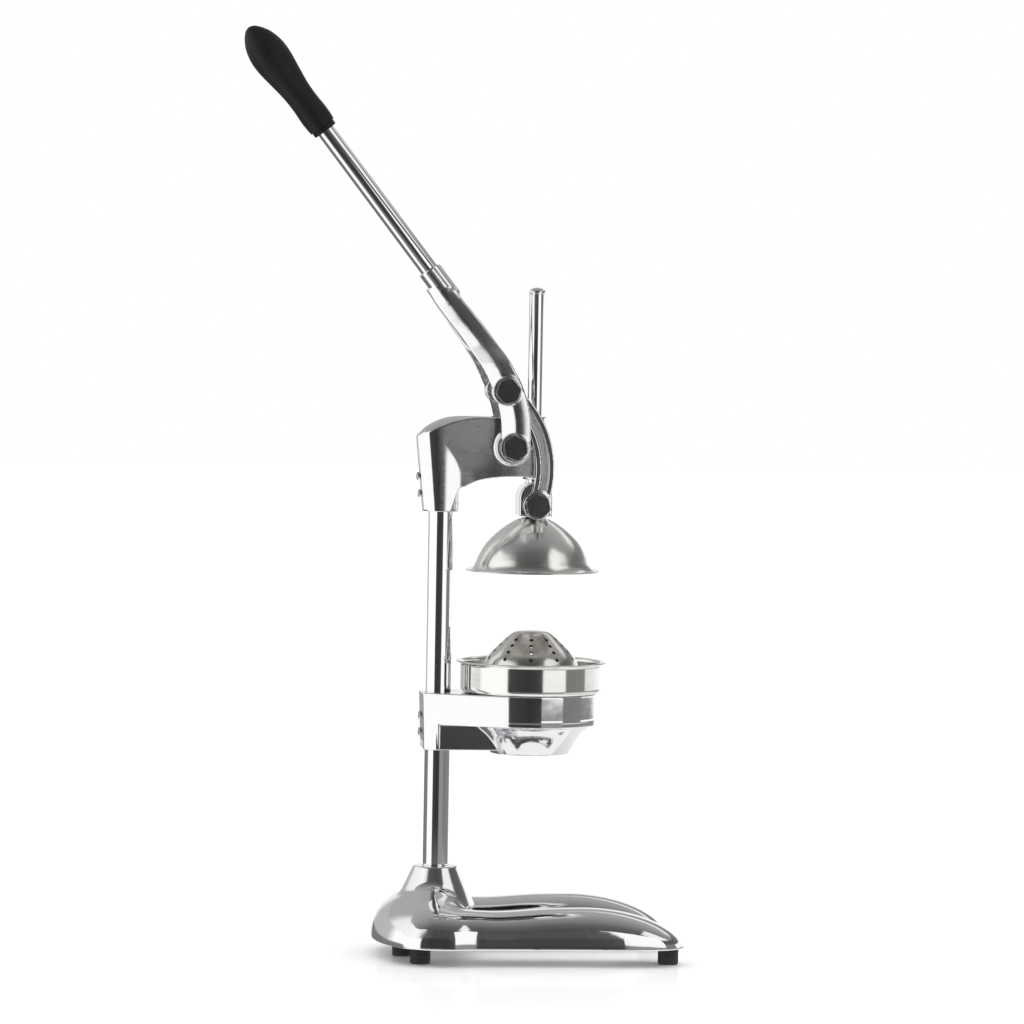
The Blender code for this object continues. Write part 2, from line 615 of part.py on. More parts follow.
def make_lever(axis):
    fork = loft("lever_fork", bar_rings(arm_stations(1), 2.5 * MM))
    join(fork, loft("right_arm", bar_rings(arm_stations(-1), 2.5 * MM), helper=True))
    root = (HANDLE_ROOT[0], 0, HANDLE_ROOT[1])
    ferrule = [(0, 15 * MM), (FERRULE_RADIUS, 15 * MM), (FERRULE_RADIUS, -4 * MM), (10.5 * MM, -10 * MM)]
    ferrule += [(0, -10 * MM)]
    join(fork, turned("ferrule", ferrule, at=root, axis="HANDLE", helper=True))
    for side, name in ((1, "left"), (-1, "right")):
        for pivot, radius in ((LEVER_PIVOT, 13 * MM), (UPPER_PIVOT, 12.5 * MM)):
            at = (pivot[0], 0, pivot[1])
            ends = sorted((side * ARM_INNER, side * ARM_OUTER))
            eye = cylinder(f"eye_{name}", radius, *ends, at=at, axis="Y", steps=ROUND_STEPS, helper=True)
            join(fork, eye)
    cut(fork, bolt_way("fork_way_low", LEVER_PIVOT), bolt_way("fork_way_high", UPPER_PIVOT))
    bore = HANDLE_RADIUS + GAP
    cut(fork, cylinder("fork_socket", bore, -5.3 * MM, 30 * MM, at=root, axis="HANDLE", helper=True))
    complete(fork, CAST, axis)

    rod = cylinder("handle_rod", HANDLE_RADIUS, -5 * MM, 235 * MM, at=root, axis="HANDLE", steps=ROUND_STEPS)
    complete(rod, CHROME, axis)
    make_grip(root, bore, axis)


def make_grip(root, bore, axis):
    """Waisted near its collar, fattest two thirds up and round at the end."""
    shape = [(0, 12), (9.4, 11.6), (22, 11), (34.6, 11.4), (47.2, 13), (59.8, 14.75), (66.1, 15.15)]
    shape += [(72.4, 14.9), (79, 13.6), (85, 11.4), (91.3, 7.3), (94.8, 3.6), (96, 0)]
    outer = [(radius * MM, GRIP_START + along * MM) for along, radius in reversed(shape)]
    inner = [(bore, GRIP_START), (bore, 236 * MM), (0, 236 * MM)]
    grip = turned("grip", outer + inner, at=root, axis="HANDLE")
    complete(grip, PLASTIC, axis)
    high, low = GRIP_START - GAP, GRIP_START - 4.3 * MM
    ring = [(bore, high), (9.8 * MM, high), (9.8 * MM, low), (bore, low)]
    complete(turned("grip_collar", ring, at=root, axis="HANDLE", closed=True), PLASTIC, axis)


# ---------------------------------------------------------------- links and ram


def link_stations(side):
    """The link's centre line, an arc from the upper to the lower pivot that bows forward."""
    top = Vector((UPPER_PIVOT[0], UPPER_PIVOT[1]))
    foot = Vector((LOWER_PIVOT[0], LOWER_PIVOT[1]))
    chord = foot - top
    half = chord.length / 2
    back = Vector((chord.y, -chord.x)).normalized()
    centre = (top + foot) / 2 + back * math.sqrt(LINK_ARC_RADIUS**2 - half**2)
    reach = math.asin(half / LINK_ARC_RADIUS)
    middle = math.atan2(-back.y, -back.x)
    stations = []
    for i in range(9):
        angle = middle + reach * (1 - 2 * i / 8)
        x = centre.x + LINK_ARC_RADIUS * math.cos(angle)
        z = centre.y + LINK_ARC_RADIUS * math.sin(angle)
        y = side * (LINK_INNER + LINK_OUTER) / 2
        stations.append((x, y, z, LINK_WIDTH, LINK_THICKNESS))
    return stations


def make_link(name, side, axis):
    link = loft("link_" + name, bar_rings(link_stations(side), 1.5 * MM))
    for pivot in (UPPER_PIVOT, LOWER_PIVOT):
        ends = sorted((side * LINK_INNER, side * LINK_OUTER))
        at = (pivot[0], 0, pivot[1])
        boss = cylinder(f"boss_{name}", LINK_BOSS, *ends, at=at, axis="Y", steps=ROUND_STEPS, helper=True)
        join(link, boss)
        cut(link, bolt_way(f"link_way_{name}", pivot))
    complete(link, CAST, axis)


def make_link_bolts(name, side, lever_axis, link_axis):
    """The ram's rod passes between the links, so each pivot has a short bolt on each side."""
    hex_bolt(f"upper_bolt_{name}", UPPER_PIVOT, side, ARM_OUTER, 10.6 * MM, BOLT, lever_axis)
    hex_nut(f"upper_nut_{name}", UPPER_PIVOT, side, 11 * MM, 16 * MM, 9.5 * MM, BOLT, lever_axis)
    hex_bolt(f"lower_bolt_{name}", LOWER_PIVOT, side, LINK_OUTER, LINK_INNER, BOLT, link_axis)


def make_ram(axis):
    at = (RAM_X, 0, 0)
    rod = [(0, ROD_TOP), (ROD_RADIUS, ROD_TOP), (ROD_RADIUS, ROD_SHOULDER), (STUD_RADIUS, ROD_SHOULDER)]
    rod += [(STUD_RADIUS, STUD_BOTTOM), (0, STUD_BOTTOM)]
    complete(turned("ram_rod", rod, at=at, steps=ROUND_STEPS), CHROME, axis)

    dome = arc((0, 517.4 * MM), 9 * MM, 90, 42, 5)
    cap = dome + [(CAP_RADIUS, 522.6 * MM), (CAP_RADIUS, 514 * MM), (ROD_RADIUS + GAP, 514 * MM)]
    cap += [(ROD_RADIUS + GAP, ROD_TOP + GAP), (0, ROD_TOP + GAP)]
    complete(turned("rod_cap", cap, at=at, steps=SMALL_STEPS), CHROME, axis)

    low = (RAM_X - BLOCK_HALF_X, -BLOCK_HALF_Y, BLOCK_BOTTOM)
    high = (RAM_X + BLOCK_HALF_X, BLOCK_HALF_Y, 361 * MM)
    crosshead = block("ram_block", low, high)
    crown = cylinder(
        "block_crown",
        BLOCK_HALF_X,
        -BLOCK_HALF_Y,
        BLOCK_HALF_Y,
        at=(RAM_X, 0, 361.3 * MM),
        axis="Y",
        steps=ROUND_STEPS,
        helper=True,
    )
    join(crosshead, crown)
    cut(crosshead, cylinder("block_bore", ROD_RADIUS + GAP, 0.33, 0.4, at=at, steps=ROUND_STEPS, helper=True))
    complete(crosshead, CAST, axis)

    stud_way = BOLT_HOLE / MM
    outer = [(stud_way, 346.7), (9.6, 346.3), (18.2, 341.7), (25, 337), (31.7, 331.2), (36.5, 326.2)]
    outer += [(40, 321.2), (43.6, 314.5), (46, 308.4), (47.6, 305.8), (50, 304.8), (52.8, 304.6), (52.9, 303.8)]
    inner = [(49.6, 303.8), (46.6, 305.2), (44.9, 308.4), (42.5, 314.3), (39, 320.6), (35.7, 325.4)]
    inner += [(31, 330.2), (24.4, 335.9), (17.8, 340.5), (9.3, 345), (stud_way, 345.4)]
    profile = [(radius * MM, height * MM) for radius, height in outer + inner]
    complete(turned("bell", profile, at=at, closed=True), STEEL, axis)

    nut = cylinder("bell_nut", 7.5 * MM, 338.8 * MM, 345.0 * MM, at=at, steps=6)
    cut(nut, cylinder("bell_nut_thread", BOLT_HOLE, 0.33, 0.36, at=at, helper=True))
    complete(nut, BOLT, axis)


# ---------------------------------------------------------------- assembly

clear_scene()
PARTS = make_collection("citrus_press")
CUTTERS = make_collection("cutters", hidden=True)

FRAME_AXIS = make_axis("frame_axis", COLUMN_X, 0.0)
LEVER_AXIS = make_axis("lever_axis", COLUMN_X + LEVER_PIVOT[0], LEVER_PIVOT[1])
LINK_AXIS = make_axis("link_axis", COLUMN_X + UPPER_PIVOT[0], UPPER_PIVOT[1])
RAM_AXIS = make_axis("ram_axis", COLUMN_X + RAM_X, LOWER_PIVOT[1])
SIEVE_AXIS = make_axis("sieve_axis", COLUMN_X + RAM_X, HOLDER_TOP)

make_base(FRAME_AXIS)
make_feet(FRAME_AXIS)
make_column(FRAME_AXIS)
make_holder(FRAME_AXIS)
make_head(FRAME_AXIS)
make_pivot_bolt(FRAME_AXIS)
make_cup(SIEVE_AXIS)
make_strainer(SIEVE_AXIS)
make_lever(LEVER_AXIS)
for SIDE_NAME, SIDE in (("left", 1), ("right", -1)):
    make_link(SIDE_NAME, SIDE, LINK_AXIS)
    make_link_bolts(SIDE_NAME, SIDE, LEVER_AXIS, LINK_AXIS)
make_ram(RAM_AXIS)
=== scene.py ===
"""Looks for the citrus press: smooth castings, spun steel, fasteners, materials, studio and camera."""

import math

import bpy
import numpy as np
from mathutils import Matrix, Vector
from mathutils.kdtree import KDTree


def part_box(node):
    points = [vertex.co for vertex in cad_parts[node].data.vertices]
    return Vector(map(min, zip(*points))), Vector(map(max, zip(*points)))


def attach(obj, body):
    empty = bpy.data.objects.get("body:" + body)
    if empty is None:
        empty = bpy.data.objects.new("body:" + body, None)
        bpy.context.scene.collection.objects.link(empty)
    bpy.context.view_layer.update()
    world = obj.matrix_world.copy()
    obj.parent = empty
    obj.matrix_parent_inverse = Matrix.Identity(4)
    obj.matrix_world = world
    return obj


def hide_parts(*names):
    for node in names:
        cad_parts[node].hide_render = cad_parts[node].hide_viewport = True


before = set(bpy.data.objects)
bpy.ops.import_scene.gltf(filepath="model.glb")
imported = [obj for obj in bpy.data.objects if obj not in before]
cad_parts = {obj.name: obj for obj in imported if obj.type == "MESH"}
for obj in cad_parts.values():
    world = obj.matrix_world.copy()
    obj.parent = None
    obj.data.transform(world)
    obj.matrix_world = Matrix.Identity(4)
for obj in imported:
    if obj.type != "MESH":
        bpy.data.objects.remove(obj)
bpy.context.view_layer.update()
COARSE = 1.0

# Shapes are written in millimetres from the column's axis and end up in the row frame in metres.
COLUMN_LOW, COLUMN_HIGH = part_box("column")
COLUMN_X = (COLUMN_LOW.x + COLUMN_HIGH.x) / 2
RAM_X = 73.0
LEVER_PIVOT = (53.4, 401.6)
UPPER_PIVOT = (47.1, 445.7)
LOWER_PIVOT = (73.0, 356.2)
HANDLE_ROOT = (-3.8, 527.6)
HANDLE_LEAN = math.radians(37.8)
BASE_BOTTOM = 13.5


# ---- distance fields


def smin(a, b, k):
    h = np.maximum(k - np.abs(a - b), 0.0) / k
    return np.minimum(a, b) - h * h * k / 4


def smax(a, b, k):
    return -smin(-a, -b, k)


def most(*fields):
    found = fields[0]
    for other in fields[1:]:
        found = np.maximum(found, other)
    return found


def table(knots, values, count=1200):
    """A smooth curve through the knots, as a function that looks it up."""
    knots, values = np.array(knots, float), np.array(values, float)
    slopes = np.gradient(values, knots)
    at = np.linspace(knots[0], knots[-1], count)
    i = np.clip(np.searchsorted(knots, at) - 1, 0, len(knots) - 2)
    span = knots[i + 1] - knots[i]
    t = (at - knots[i]) / span
    line = (2 * t**3 - 3 * t**2 + 1) * values[i] + (t**3 - 2 * t**2 + t) * span * slopes[i]
    line += (3 * t**2 - 2 * t**3) * values[i + 1] + (t**3 - t**2) * span * slopes[i + 1]
    return lambda x: np.interp(x, at, line)


def gradient(field, points, reach=0.06):
    found = np.empty_like(points)
    for axis in range(3):
        step = np.zeros(3)
        step[axis] = reach
        found[:, axis] = field(*(points + step).T) - field(*(points - step).T)
    return found / (2 * reach)


def unit(vectors):
    return vectors / np.maximum(np.linalg.norm(vectors, axis=1, keepdims=True), 1e-9)


def contour(field, low, high, step):
    """Dual contouring: the field's zero surface as points and quads, with its sharp edges kept."""
    step *= COARSE
    low = np.array(low, float)
    counts = [int(math.ceil((b - a) / step)) + 1 for a, b in zip(low, high)]
    axes = [a + step * np.arange(n) for a, n in zip(low, counts)]
    value = field(*np.meshgrid(*axes, indexing="ij"))
    value = np.where(value == 0, 1e-6, value)
    inside = value < 0
    cells = np.array(counts) - 1
    edges, owners = [], []
    for axis in range(3):
        first = [slice(None)] * 3
        second = [slice(None)] * 3
        first[axis], second[axis] = slice(0, -1), slice(1, None)
        crossed = inside[tuple(first)] != inside[tuple(second)]
        at = np.argwhere(crossed)
        others = [a for a in range(3) if a != axis]
        ok = np.ones(len(at), bool)
        for other in others:
            ok &= (at[:, other] > 0) & (at[:, other] < cells[other])
        at = at[ok]
        following = at.copy()
        following[:, axis] += 1
        v0, v1 = value[tuple(at.T)], value[tuple(following.T)]
        t = v0 / (v0 - v1)
        lo, hi = np.zeros(len(at)), np.ones(len(at))
        p0 = low + at * step
        direction = np.zeros(3)
        direction[axis] = step
        for _ in range(4):
            now = field(*(p0 + t[:, None] * direction).T)
            same = (now < 0) == (v0 < 0)
            lo, hi = np.where(same, t, lo), np.where(same, hi, t)
            v0, v1 = np.where(same, now, v0), np.where(same, v1, now)
            guess = lo + (hi - lo) * v0 / np.where(v0 == v1, 1e-9, v0 - v1)
            t = np.clip(guess, lo + 0.02 * (hi - lo), hi - 0.02 * (hi - lo))
        edges.append(p0 + t[:, None] * direction)
        around = []
        for db, dc in ((-1, -1), (0, -1), (0, 0), (-1, 0)):
            cell = at.copy()
            cell[:, others[0]] += db
            cell[:, others[1]] += dc
            around.append(np.ravel_multi_index(cell.T, cells))
        around = np.stack(around, 1)
        flip = inside[tuple(at.T)] == (axis == 1)
        around[flip] = around[flip][:, ::-1]
        owners.append(around)
    points = np.concatenate(edges)
    normals = unit(gradient(field, points))
    owners = np.concatenate(owners)
    used, index = np.unique(owners, return_inverse=True)
    index = index.reshape(owners.shape)
    n = len(used)
    number = np.bincount(index.ravel(), minlength=n)
    spread = np.repeat(np.arange(len(points)), 4)
    flat = index.ravel()
    middle = np.stack([np.bincount(flat, points[spread, a], n) for a in range(3)], 1) / number[:, None]
    offset = points[spread] - middle[flat]
    normal = normals[spread]
    along = (offset * normal).sum(1)
    right = np.stack([np.bincount(flat, normal[:, a] * along, n) for a in range(3)], 1)
    matrix = np.zeros((n, 3, 3))
    for a in range(3):
        for b in range(a, 3):
            matrix[:, a, b] = matrix[:, b, a] = np.bincount(flat, normal[:, a] * normal[:, b], n)
        matrix[:, a, a] += 0.04
    move = np.linalg.solve(matrix, right[:, :, None])[:, :, 0]
    corner = low + np.stack(np.unravel_index(used, cells), 1) * step
    found = np.clip(middle + move, corner - 0.2 * step, corner + 1.2 * step)
    for _ in range(2):
        slope = gradient(field, found)
        size = np.maximum((slope**2).sum(1), 0.05)
        shift = -(field(*found.T) / size)[:, None] * slope
        length = np.linalg.norm(shift, axis=1, keepdims=True)
        found = found + shift * np.minimum(1.0, 0.3 * step / np.maximum(length, 1e-9))
    return found, index


def add_mesh(name, points, faces, normals=None):
    """A piece from points in millimetres from the column's axis, placed in the row's frame."""
    mesh = bpy.data.meshes.new(name)
    placed = np.asarray(points, float) * 0.001 + np.array((COLUMN_X, 0.0, 0.0))
    mesh.from_pydata(placed.tolist(), [], faces)
    mesh.validate()
    mesh.shade_smooth()
    if normals is not None and len(normals) == len(mesh.loops):
        mesh.normals_split_custom_set(normals.tolist())
    obj = bpy.data.objects.new(name, mesh)
    bpy.context.scene.collection.objects.link(obj)
    return obj


def cast_piece(name, field, low, high, step):
    """A closed piece from a distance field, with shading normals read from the field itself."""
    points, faces = contour(field, low, high, step)
    a, b, c, d = (points[faces[:, i]] for i in range(4))
    facing = np.cross(c - a, d - b)
    centre = (a + b + c + d) / 4
    outward = (facing * gradient(field, centre)).sum(1) > 0
    faces[~outward] = faces[~outward][:, ::-1]
    corners = points[faces]
    inner = corners * 0.8 + centre[:, None, :] * 0.2
    normals = unit(gradient(field, inner.reshape(-1, 3)))
    return add_mesh(name, points, faces.tolist(), normals)


def lathe(name, profile, at=(0.0, 0.0, 0.0), turn=None, segments=128, sharp=40):
    """A closed turned piece: profile points (radius, height) run round the section."""
    segments = int(segments / COARSE)
    profile = [(max(r, 0.0), h) for r, h in profile]
    points, faces, rows = [], [], []
    for r, h in profile:
        if r < 1e-4:
            rows.append([len(points)] * segments)
            points.append((0.0, 0.0, h))
        else:
            rows.append(list(range(len(points), len(points) + segments)))
            for i in range(segments):
                angle = 2 * math.pi * i / segments
                points.append((r * math.cos(angle), r * math.sin(angle), h))
    pairs = list(zip(rows, rows[1:]))
    if profile[0][0] > 1e-4 or profile[-1][0] > 1e-4:
        pairs.append((rows[-1], rows[0]))
    for upper, lower in pairs:
        for i in range(segments):
            j = (i + 1) % segments
            face = []
            for vertex in (upper[i], lower[i], lower[j], upper[j]):
                if vertex not in face:
                    face.append(vertex)
            if len(face) > 2:
                faces.append(face)
    matrix = Matrix.Translation(at) @ (turn or Matrix.Identity(4))
    placed = np.array([matrix @ Vector(p) for p in points])
    obj = add_mesh(name, placed, faces)
    obj.data.set_sharp_from_angle(angle=math.radians(sharp))
    return obj


def rounded(points, radius, steps=5):
    """The same polyline with each inner corner turned into a small arc."""
    found = [points[0]]
    for before, corner, after in zip(points, points[1:], points[2:]):
        r = corner[2] if len(corner) > 2 else radius
        p, c, q = (np.array(v[:2], float) for v in (before, corner, after))
        back, on = p - c, q - c
        reach = min(r, 0.45 * np.linalg.norm(back), 0.45 * np.linalg.norm(on))
        start = c + back / np.linalg.norm(back) * reach
        end = c + on / np.linalg.norm(on) * reach
        for i in range(steps + 1):
            t = i / steps
            found.append(tuple((1 - t) ** 2 * start + 2 * t * (1 - t) * c + t * t * end))
    found.append(points[-1])
    return [tuple(float(v) for v in p[:2]) for p in found]


def smooth(points, per=8):
    """A smooth curve through every point."""
    p = np.array(points, float)
    along = np.concatenate([[0], np.cumsum(np.linalg.norm(np.diff(p, axis=0), axis=1) ** 0.5)])
    at = np.linspace(0, along[-1], per * (len(p) - 1) + 1)
    return [tuple(v) for v in np.stack([table(along, p[:, i], 4000)(at) for i in range(2)], 1).tolist()]


# ---- materials


class Nodes:
    """A short way to write a material's node tree."""

    def __init__(self, name, metallic=1.0):
        self.material = bpy.data.materials.new(name)
        self.material.use_nodes = True
        self.tree = self.material.node_tree
        self.shader = self.tree.nodes["Principled BSDF"]
        self.shader.inputs["Metallic"].default_value = metallic
        self.place = self.add("ShaderNodeTexCoord")
        self.object = self.place.outputs["Object"]

    def add(self, kind, links=(), **values):
        node = self.tree.nodes.new(kind)
        for key, value in values.items():
            if hasattr(node, key):
                setattr(node, key, value)
            else:
                node.inputs[key.replace("_", " ")].default_value = value
        for socket, source in dict(links).items():
            self.tree.links.new(source, node.inputs[socket])
        return node

    def use(self, shader):
        """Puts another shader in the place of the usual one."""
        self.tree.nodes.remove(self.shader)
        self.shader = shader
        self.tree.links.new(shader.outputs[0], self.tree.nodes["Material Output"].inputs["Surface"])

    def put(self, socket, source):
        self.tree.links.new(source, self.shader.inputs[socket])

    def noise(self, scale, detail=3.0, rough=0.5, vector=None):
        links = {"Vector": vector or self.object}
        node = self.add("ShaderNodeTexNoise", links, Scale=scale, Detail=detail, Roughness=rough)
        return node.outputs["Fac"]

    def stretch(self, scale):
        return self.add("ShaderNodeMapping", {"Vector": self.object}, Scale=scale).outputs["Vector"]

    def math(self, operation, a, b=None):
        node = self.add("ShaderNodeMath", operation=operation)
        for socket, value in zip(node.inputs, (a, b)):
            if value is None:
                continue
            if isinstance(value, (int, float)):
                socket.default_value = value
            else:
                self.tree.links.new(value, socket)
        return node.outputs[0]

    def span(self, source, low, high, start=0.0, end=1.0):
        ends = {"From_Min": start, "From_Max": end, "To_Min": low, "To_Max": high}
        return self.add("ShaderNodeMapRange", {"Value": source}, **ends).outputs["Result"]

    def blend(self, factor, first, second):
        """A colour between two, in the mix node's colour sockets."""
        node = self.add("ShaderNodeMix", {"Factor": factor}, data_type="RGBA")
        first_socket, second_socket = [s for s in node.inputs if s.type == "RGBA"]
        first_socket.default_value = (*first, 1.0)
        second_socket.default_value = (*second, 1.0)
        return [s for s in node.outputs if s.type == "RGBA"][0]

    def bump(self, height, strength, distance, normal=None):
        node = self.add("ShaderNodeBump", {"Height": height}, Strength=strength, Distance=distance)
        if normal:
            self.tree.links.new(normal, node.inputs["Normal"])
        return node.outputs["Normal"]


def polished_casting(name="polished_casting", side_haze=0.0, dull=0.0):
    """Hand-polished aluminium: bright, with a slow waviness, polishing haze and fine mop lines.
    side_haze makes the flat sides duller, where a belt and not a mop has finished them."""
    n = Nodes(name)
    wave = n.noise(38.0, 2.0, 0.45)
    haze = n.noise(150.0, 5.0, 0.6)
    lines = n.noise(1.0, 4.0, 0.55, n.stretch((260.0, 260.0, 900.0)))
    n.put("Base Color", n.blend(haze, (0.80, 0.81, 0.825), (0.90, 0.905, 0.91)))
    mixed = n.math("ADD", n.math("MULTIPLY", haze, 0.6), n.math("MULTIPLY", lines, 0.4))
    rough = n.span(mixed, 0.035 + dull, 0.13 + 1.6 * dull, 0.3, 0.75)
    if side_haze:
        facing = n.add("ShaderNodeSeparateXYZ", {0: n.add("ShaderNodeNewGeometry").outputs["Normal"]})
        flat = n.span(n.math("ABSOLUTE", facing.outputs["Y"]), 0.0, side_haze, 0.97, 0.995)
        rough = n.math("ADD", rough, n.math("MULTIPLY", flat, n.span(wave, 0.85, 1.15, 0.3, 0.7)))
    n.put("Roughness", rough)
    slow = n.bump(wave, 0.12, 0.0010)
    n.put("Normal", n.bump(lines, 0.02, 0.0003, slow))
    return n.material


def rough_casting():
    """The castings' unpolished faces: grainy, duller and darker."""
    n = Nodes("raw_casting")
    grain = n.noise(900.0, 6.0, 0.65)
    patch = n.noise(120.0, 4.0, 0.6)
    n.put("Base Color", n.blend(patch, (0.42, 0.43, 0.44), (0.74, 0.75, 0.76)))
    n.put("Roughness", n.span(patch, 0.22, 0.42, 0.3, 0.7))
    n.put("Normal", n.bump(grain, 0.45, 0.0006))
    return n.material


def chrome():
    n = Nodes("chrome_tube")
    smear = n.noise(1.0, 3.0, 0.5, n.stretch((90.0, 90.0, 9.0)))
    spots = n.noise(700.0, 4.0, 0.6)
    n.put("Base Color", n.blend(smear, (0.84, 0.845, 0.85), (0.91, 0.915, 0.92)))
    n.put("Roughness", n.span(spots, 0.02, 0.075, 0.35, 0.75))
    n.put("Normal", n.bump(smear, 0.05, 0.0004))
    return n.material


def spun_steel(name, axis, dull, tint):
    """Spun stainless sheet: a fine brush that runs round the turning axis."""
    n = Nodes(name)
    moved = n.add("ShaderNodeVectorMath", {0: n.object}, operation="SUBTRACT")
    moved.inputs[1].default_value = axis
    parts = n.add("ShaderNodeSeparateXYZ", {"Vector": moved.outputs["Vector"]})
    x, y, z = (parts.outputs[i] for i in range(3))
    radius = n.math("SQRT", n.math("ADD", n.math("MULTIPLY", x, x), n.math("MULTIPLY", y, y)))
    angle = n.math("ARCTAN2", y, x)
    turned = n.add("ShaderNodeCombineXYZ", {"X": n.math("MULTIPLY", angle, 1.3)})
    n.tree.links.new(n.math("MULTIPLY", radius, 1300.0), turned.inputs["Y"])
    n.tree.links.new(n.math("MULTIPLY", z, 1300.0), turned.inputs["Z"])
    brush = n.noise(1.0, 5.0, 0.6, turned.outputs["Vector"])
    cloud = n.noise(55.0, 3.0, 0.5)
    both = n.math("ADD", n.math("MULTIPLY", brush, 0.65), n.math("MULTIPLY", cloud, 0.35))
    n.put("Base Color", n.blend(both, tuple(0.92 * c for c in tint), tint))
    n.put("Roughness", n.span(both, dull * 0.7, dull * 1.5, 0.3, 0.7))
    n.shader.inputs["Anisotropic"].default_value = 0.6
    n.shader.inputs["Anisotropic Rotation"].default_value = 0.25
    n.put("Tangent", n.add("ShaderNodeTangent", direction_type="RADIAL", axis="Z").outputs[0])
    n.put("Normal", n.bump(brush, 0.05, 0.0002))
    return n.material


def dark_steel():
    """Hex heads and nuts: darker steel, softly mottled."""
    n = Nodes("bolt_steel")
    grain = n.noise(500.0, 5.0, 0.6)
    sides = n.noise(90.0, 3.0, 0.5)
    n.put("Base Color", n.blend(sides, (0.36, 0.365, 0.37), (0.52, 0.525, 0.53)))
    n.put("Roughness", n.span(grain, 0.08, 0.16, 0.3, 0.7))
    n.put("Normal", n.bump(sides, 0.03, 0.0003))
    return n.material


def grained(name, scale, detail, rough, dark, light, dull, dullest, bump=0.0):
    """A plain metal surface whose one fine grain varies colour, gloss and height together."""
    n = Nodes(name)
    grain = n.noise(scale, detail, rough)
    n.put("Base Color", n.blend(grain, dark, light))
    n.put("Roughness", n.span(grain, dull, dullest, 0.3, 0.7))
    if bump:
        n.put("Normal", n.bump(grain, bump, 0.0003))
    return n.material


def rubber():
    n = Nodes("foot_rubber", 0.0)
    rings = n.noise(1.0, 3.0, 0.5, n.stretch((120.0, 120.0, 2600.0)))
    dust = n.noise(420.0, 5.0, 0.65)
    n.put("Base Color", n.blend(dust, (0.012, 0.012, 0.013), (0.035, 0.035, 0.036)))
    n.put("Roughness", n.span(dust, 0.55, 0.85, 0.3, 0.7))
    n.put("Normal", n.bump(rings, 0.5, 0.0004))
    return n.material


def grip_plastic():
    """Satin moulded plastic with a fine spark-eroded grain."""
    n = Nodes("grip_plastic", 0.0)
    grain = n.noise(2600.0, 3.0, 0.6)
    worn = n.noise(45.0, 4.0, 0.55)
    n.put("Base Color", n.blend(worn, (0.006, 0.006, 0.007), (0.012, 0.012, 0.013)))
    n.shader.inputs["Specular IOR Level"].default_value = 0.24
    n.put("Roughness", n.span(worn, 0.40, 0.52, 0.3, 0.7))
    n.put("Normal", n.bump(grain, 0.12, 0.0002))
    return n.material


CAST = polished_casting()
RAW = rough_casting()
CHROME = chrome()
RAM_AXIS = (COLUMN_X + RAM_X * 0.001, 0.0, 0.0)
BELL_STEEL = spun_steel("bell_steel", RAM_AXIS, 0.19, (0.95, 0.935, 0.91))
CUP_STEEL = spun_steel("cup_steel", RAM_AXIS, 0.11, (0.90, 0.89, 0.87))
CONE_STEEL = spun_steel("cone_steel", RAM_AXIS, 0.17, (0.80, 0.785, 0.755))
# Painted shade: a near-black steel for the strainer cone's inner faces and hole walls, in place of the shade
# inside the cone, so the holes read dark.
PAINTED_SHADE_STEEL = grained("painted_shade_steel", 700.0, 5.0, 0.6, (0.05, 0.05, 0.05), (0.14, 0.14, 0.14), 0.4, 0.6)
HEAD_CAST = polished_casting("head_casting", 0.20)
FORK_CAST = polished_casting("fork_casting", 0.10, 0.045)
BOLT = dark_steel()
ZINC = grained("small_steel", 600.0, 5.0, 0.6, (0.46, 0.455, 0.44), (0.72, 0.72, 0.71), 0.2, 0.42, 0.12)
BRONZE = grained("bush_bronze", 1600.0, 4.0, 0.7, (0.46, 0.31, 0.15), (0.72, 0.54, 0.29), 0.28, 0.5, 0.2)
RUBBER = rubber()
PLASTIC = grip_plastic()


def finish_piece(obj, body, node, material):
    obj.data.materials.clear()
    obj.data.materials.append(material)
    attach(obj, body)
    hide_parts(node)


def raw_where(obj, test):
    """Gives a piece's faces that pass the test the unpolished finish; test reads centres and normals."""
    obj.data.materials.append(RAW)
    count = len(obj.data.polygons)
    centres, normals = np.empty(count * 3), np.empty(count * 3)
    obj.data.polygons.foreach_get("center", centres)
    obj.data.polygons.foreach_get("normal", normals)
    centres = (centres.reshape(-1, 3) - np.array((COLUMN_X, 0.0, 0.0))) * 1000
    found = test(centres, normals.reshape(-1, 3)).astype(np.int32)
    obj.data.polygons.foreach_set("material_index", found)


# ---- base, column and feet

LEG_X = [-60, -46, -43, -40, -33.5, -24, -16, -8, -2, 6, 12, 18, 24, 32, 140]
LEG_OUT = [28, 28.3, 28.1, 27.7, 26.8, 25.3, 25.4, 28.2, 31.3, 32.2, 31.4, 29.9, 29.1, 29.0, 30.6]
LEG_OUTER = table(LEG_X, LEG_OUT, 1500)


def leg_numbers(x):
    """Outer and inner half width and crest height of the horseshoe, by distance from the column."""
    nose = np.clip((x - 110) / 80.6, 0, 1)
    close = np.sqrt(np.maximum(1 - nose**6, 0))
    dip = np.exp(-(((x - 42) / 34) ** 2))
    height = (30.5 - 3.0 * dip) * np.maximum(1 - nose**2, 0) ** 0.6
    return LEG_OUTER(np.clip(x, -60, 140)) * close, 27.0 * close, height


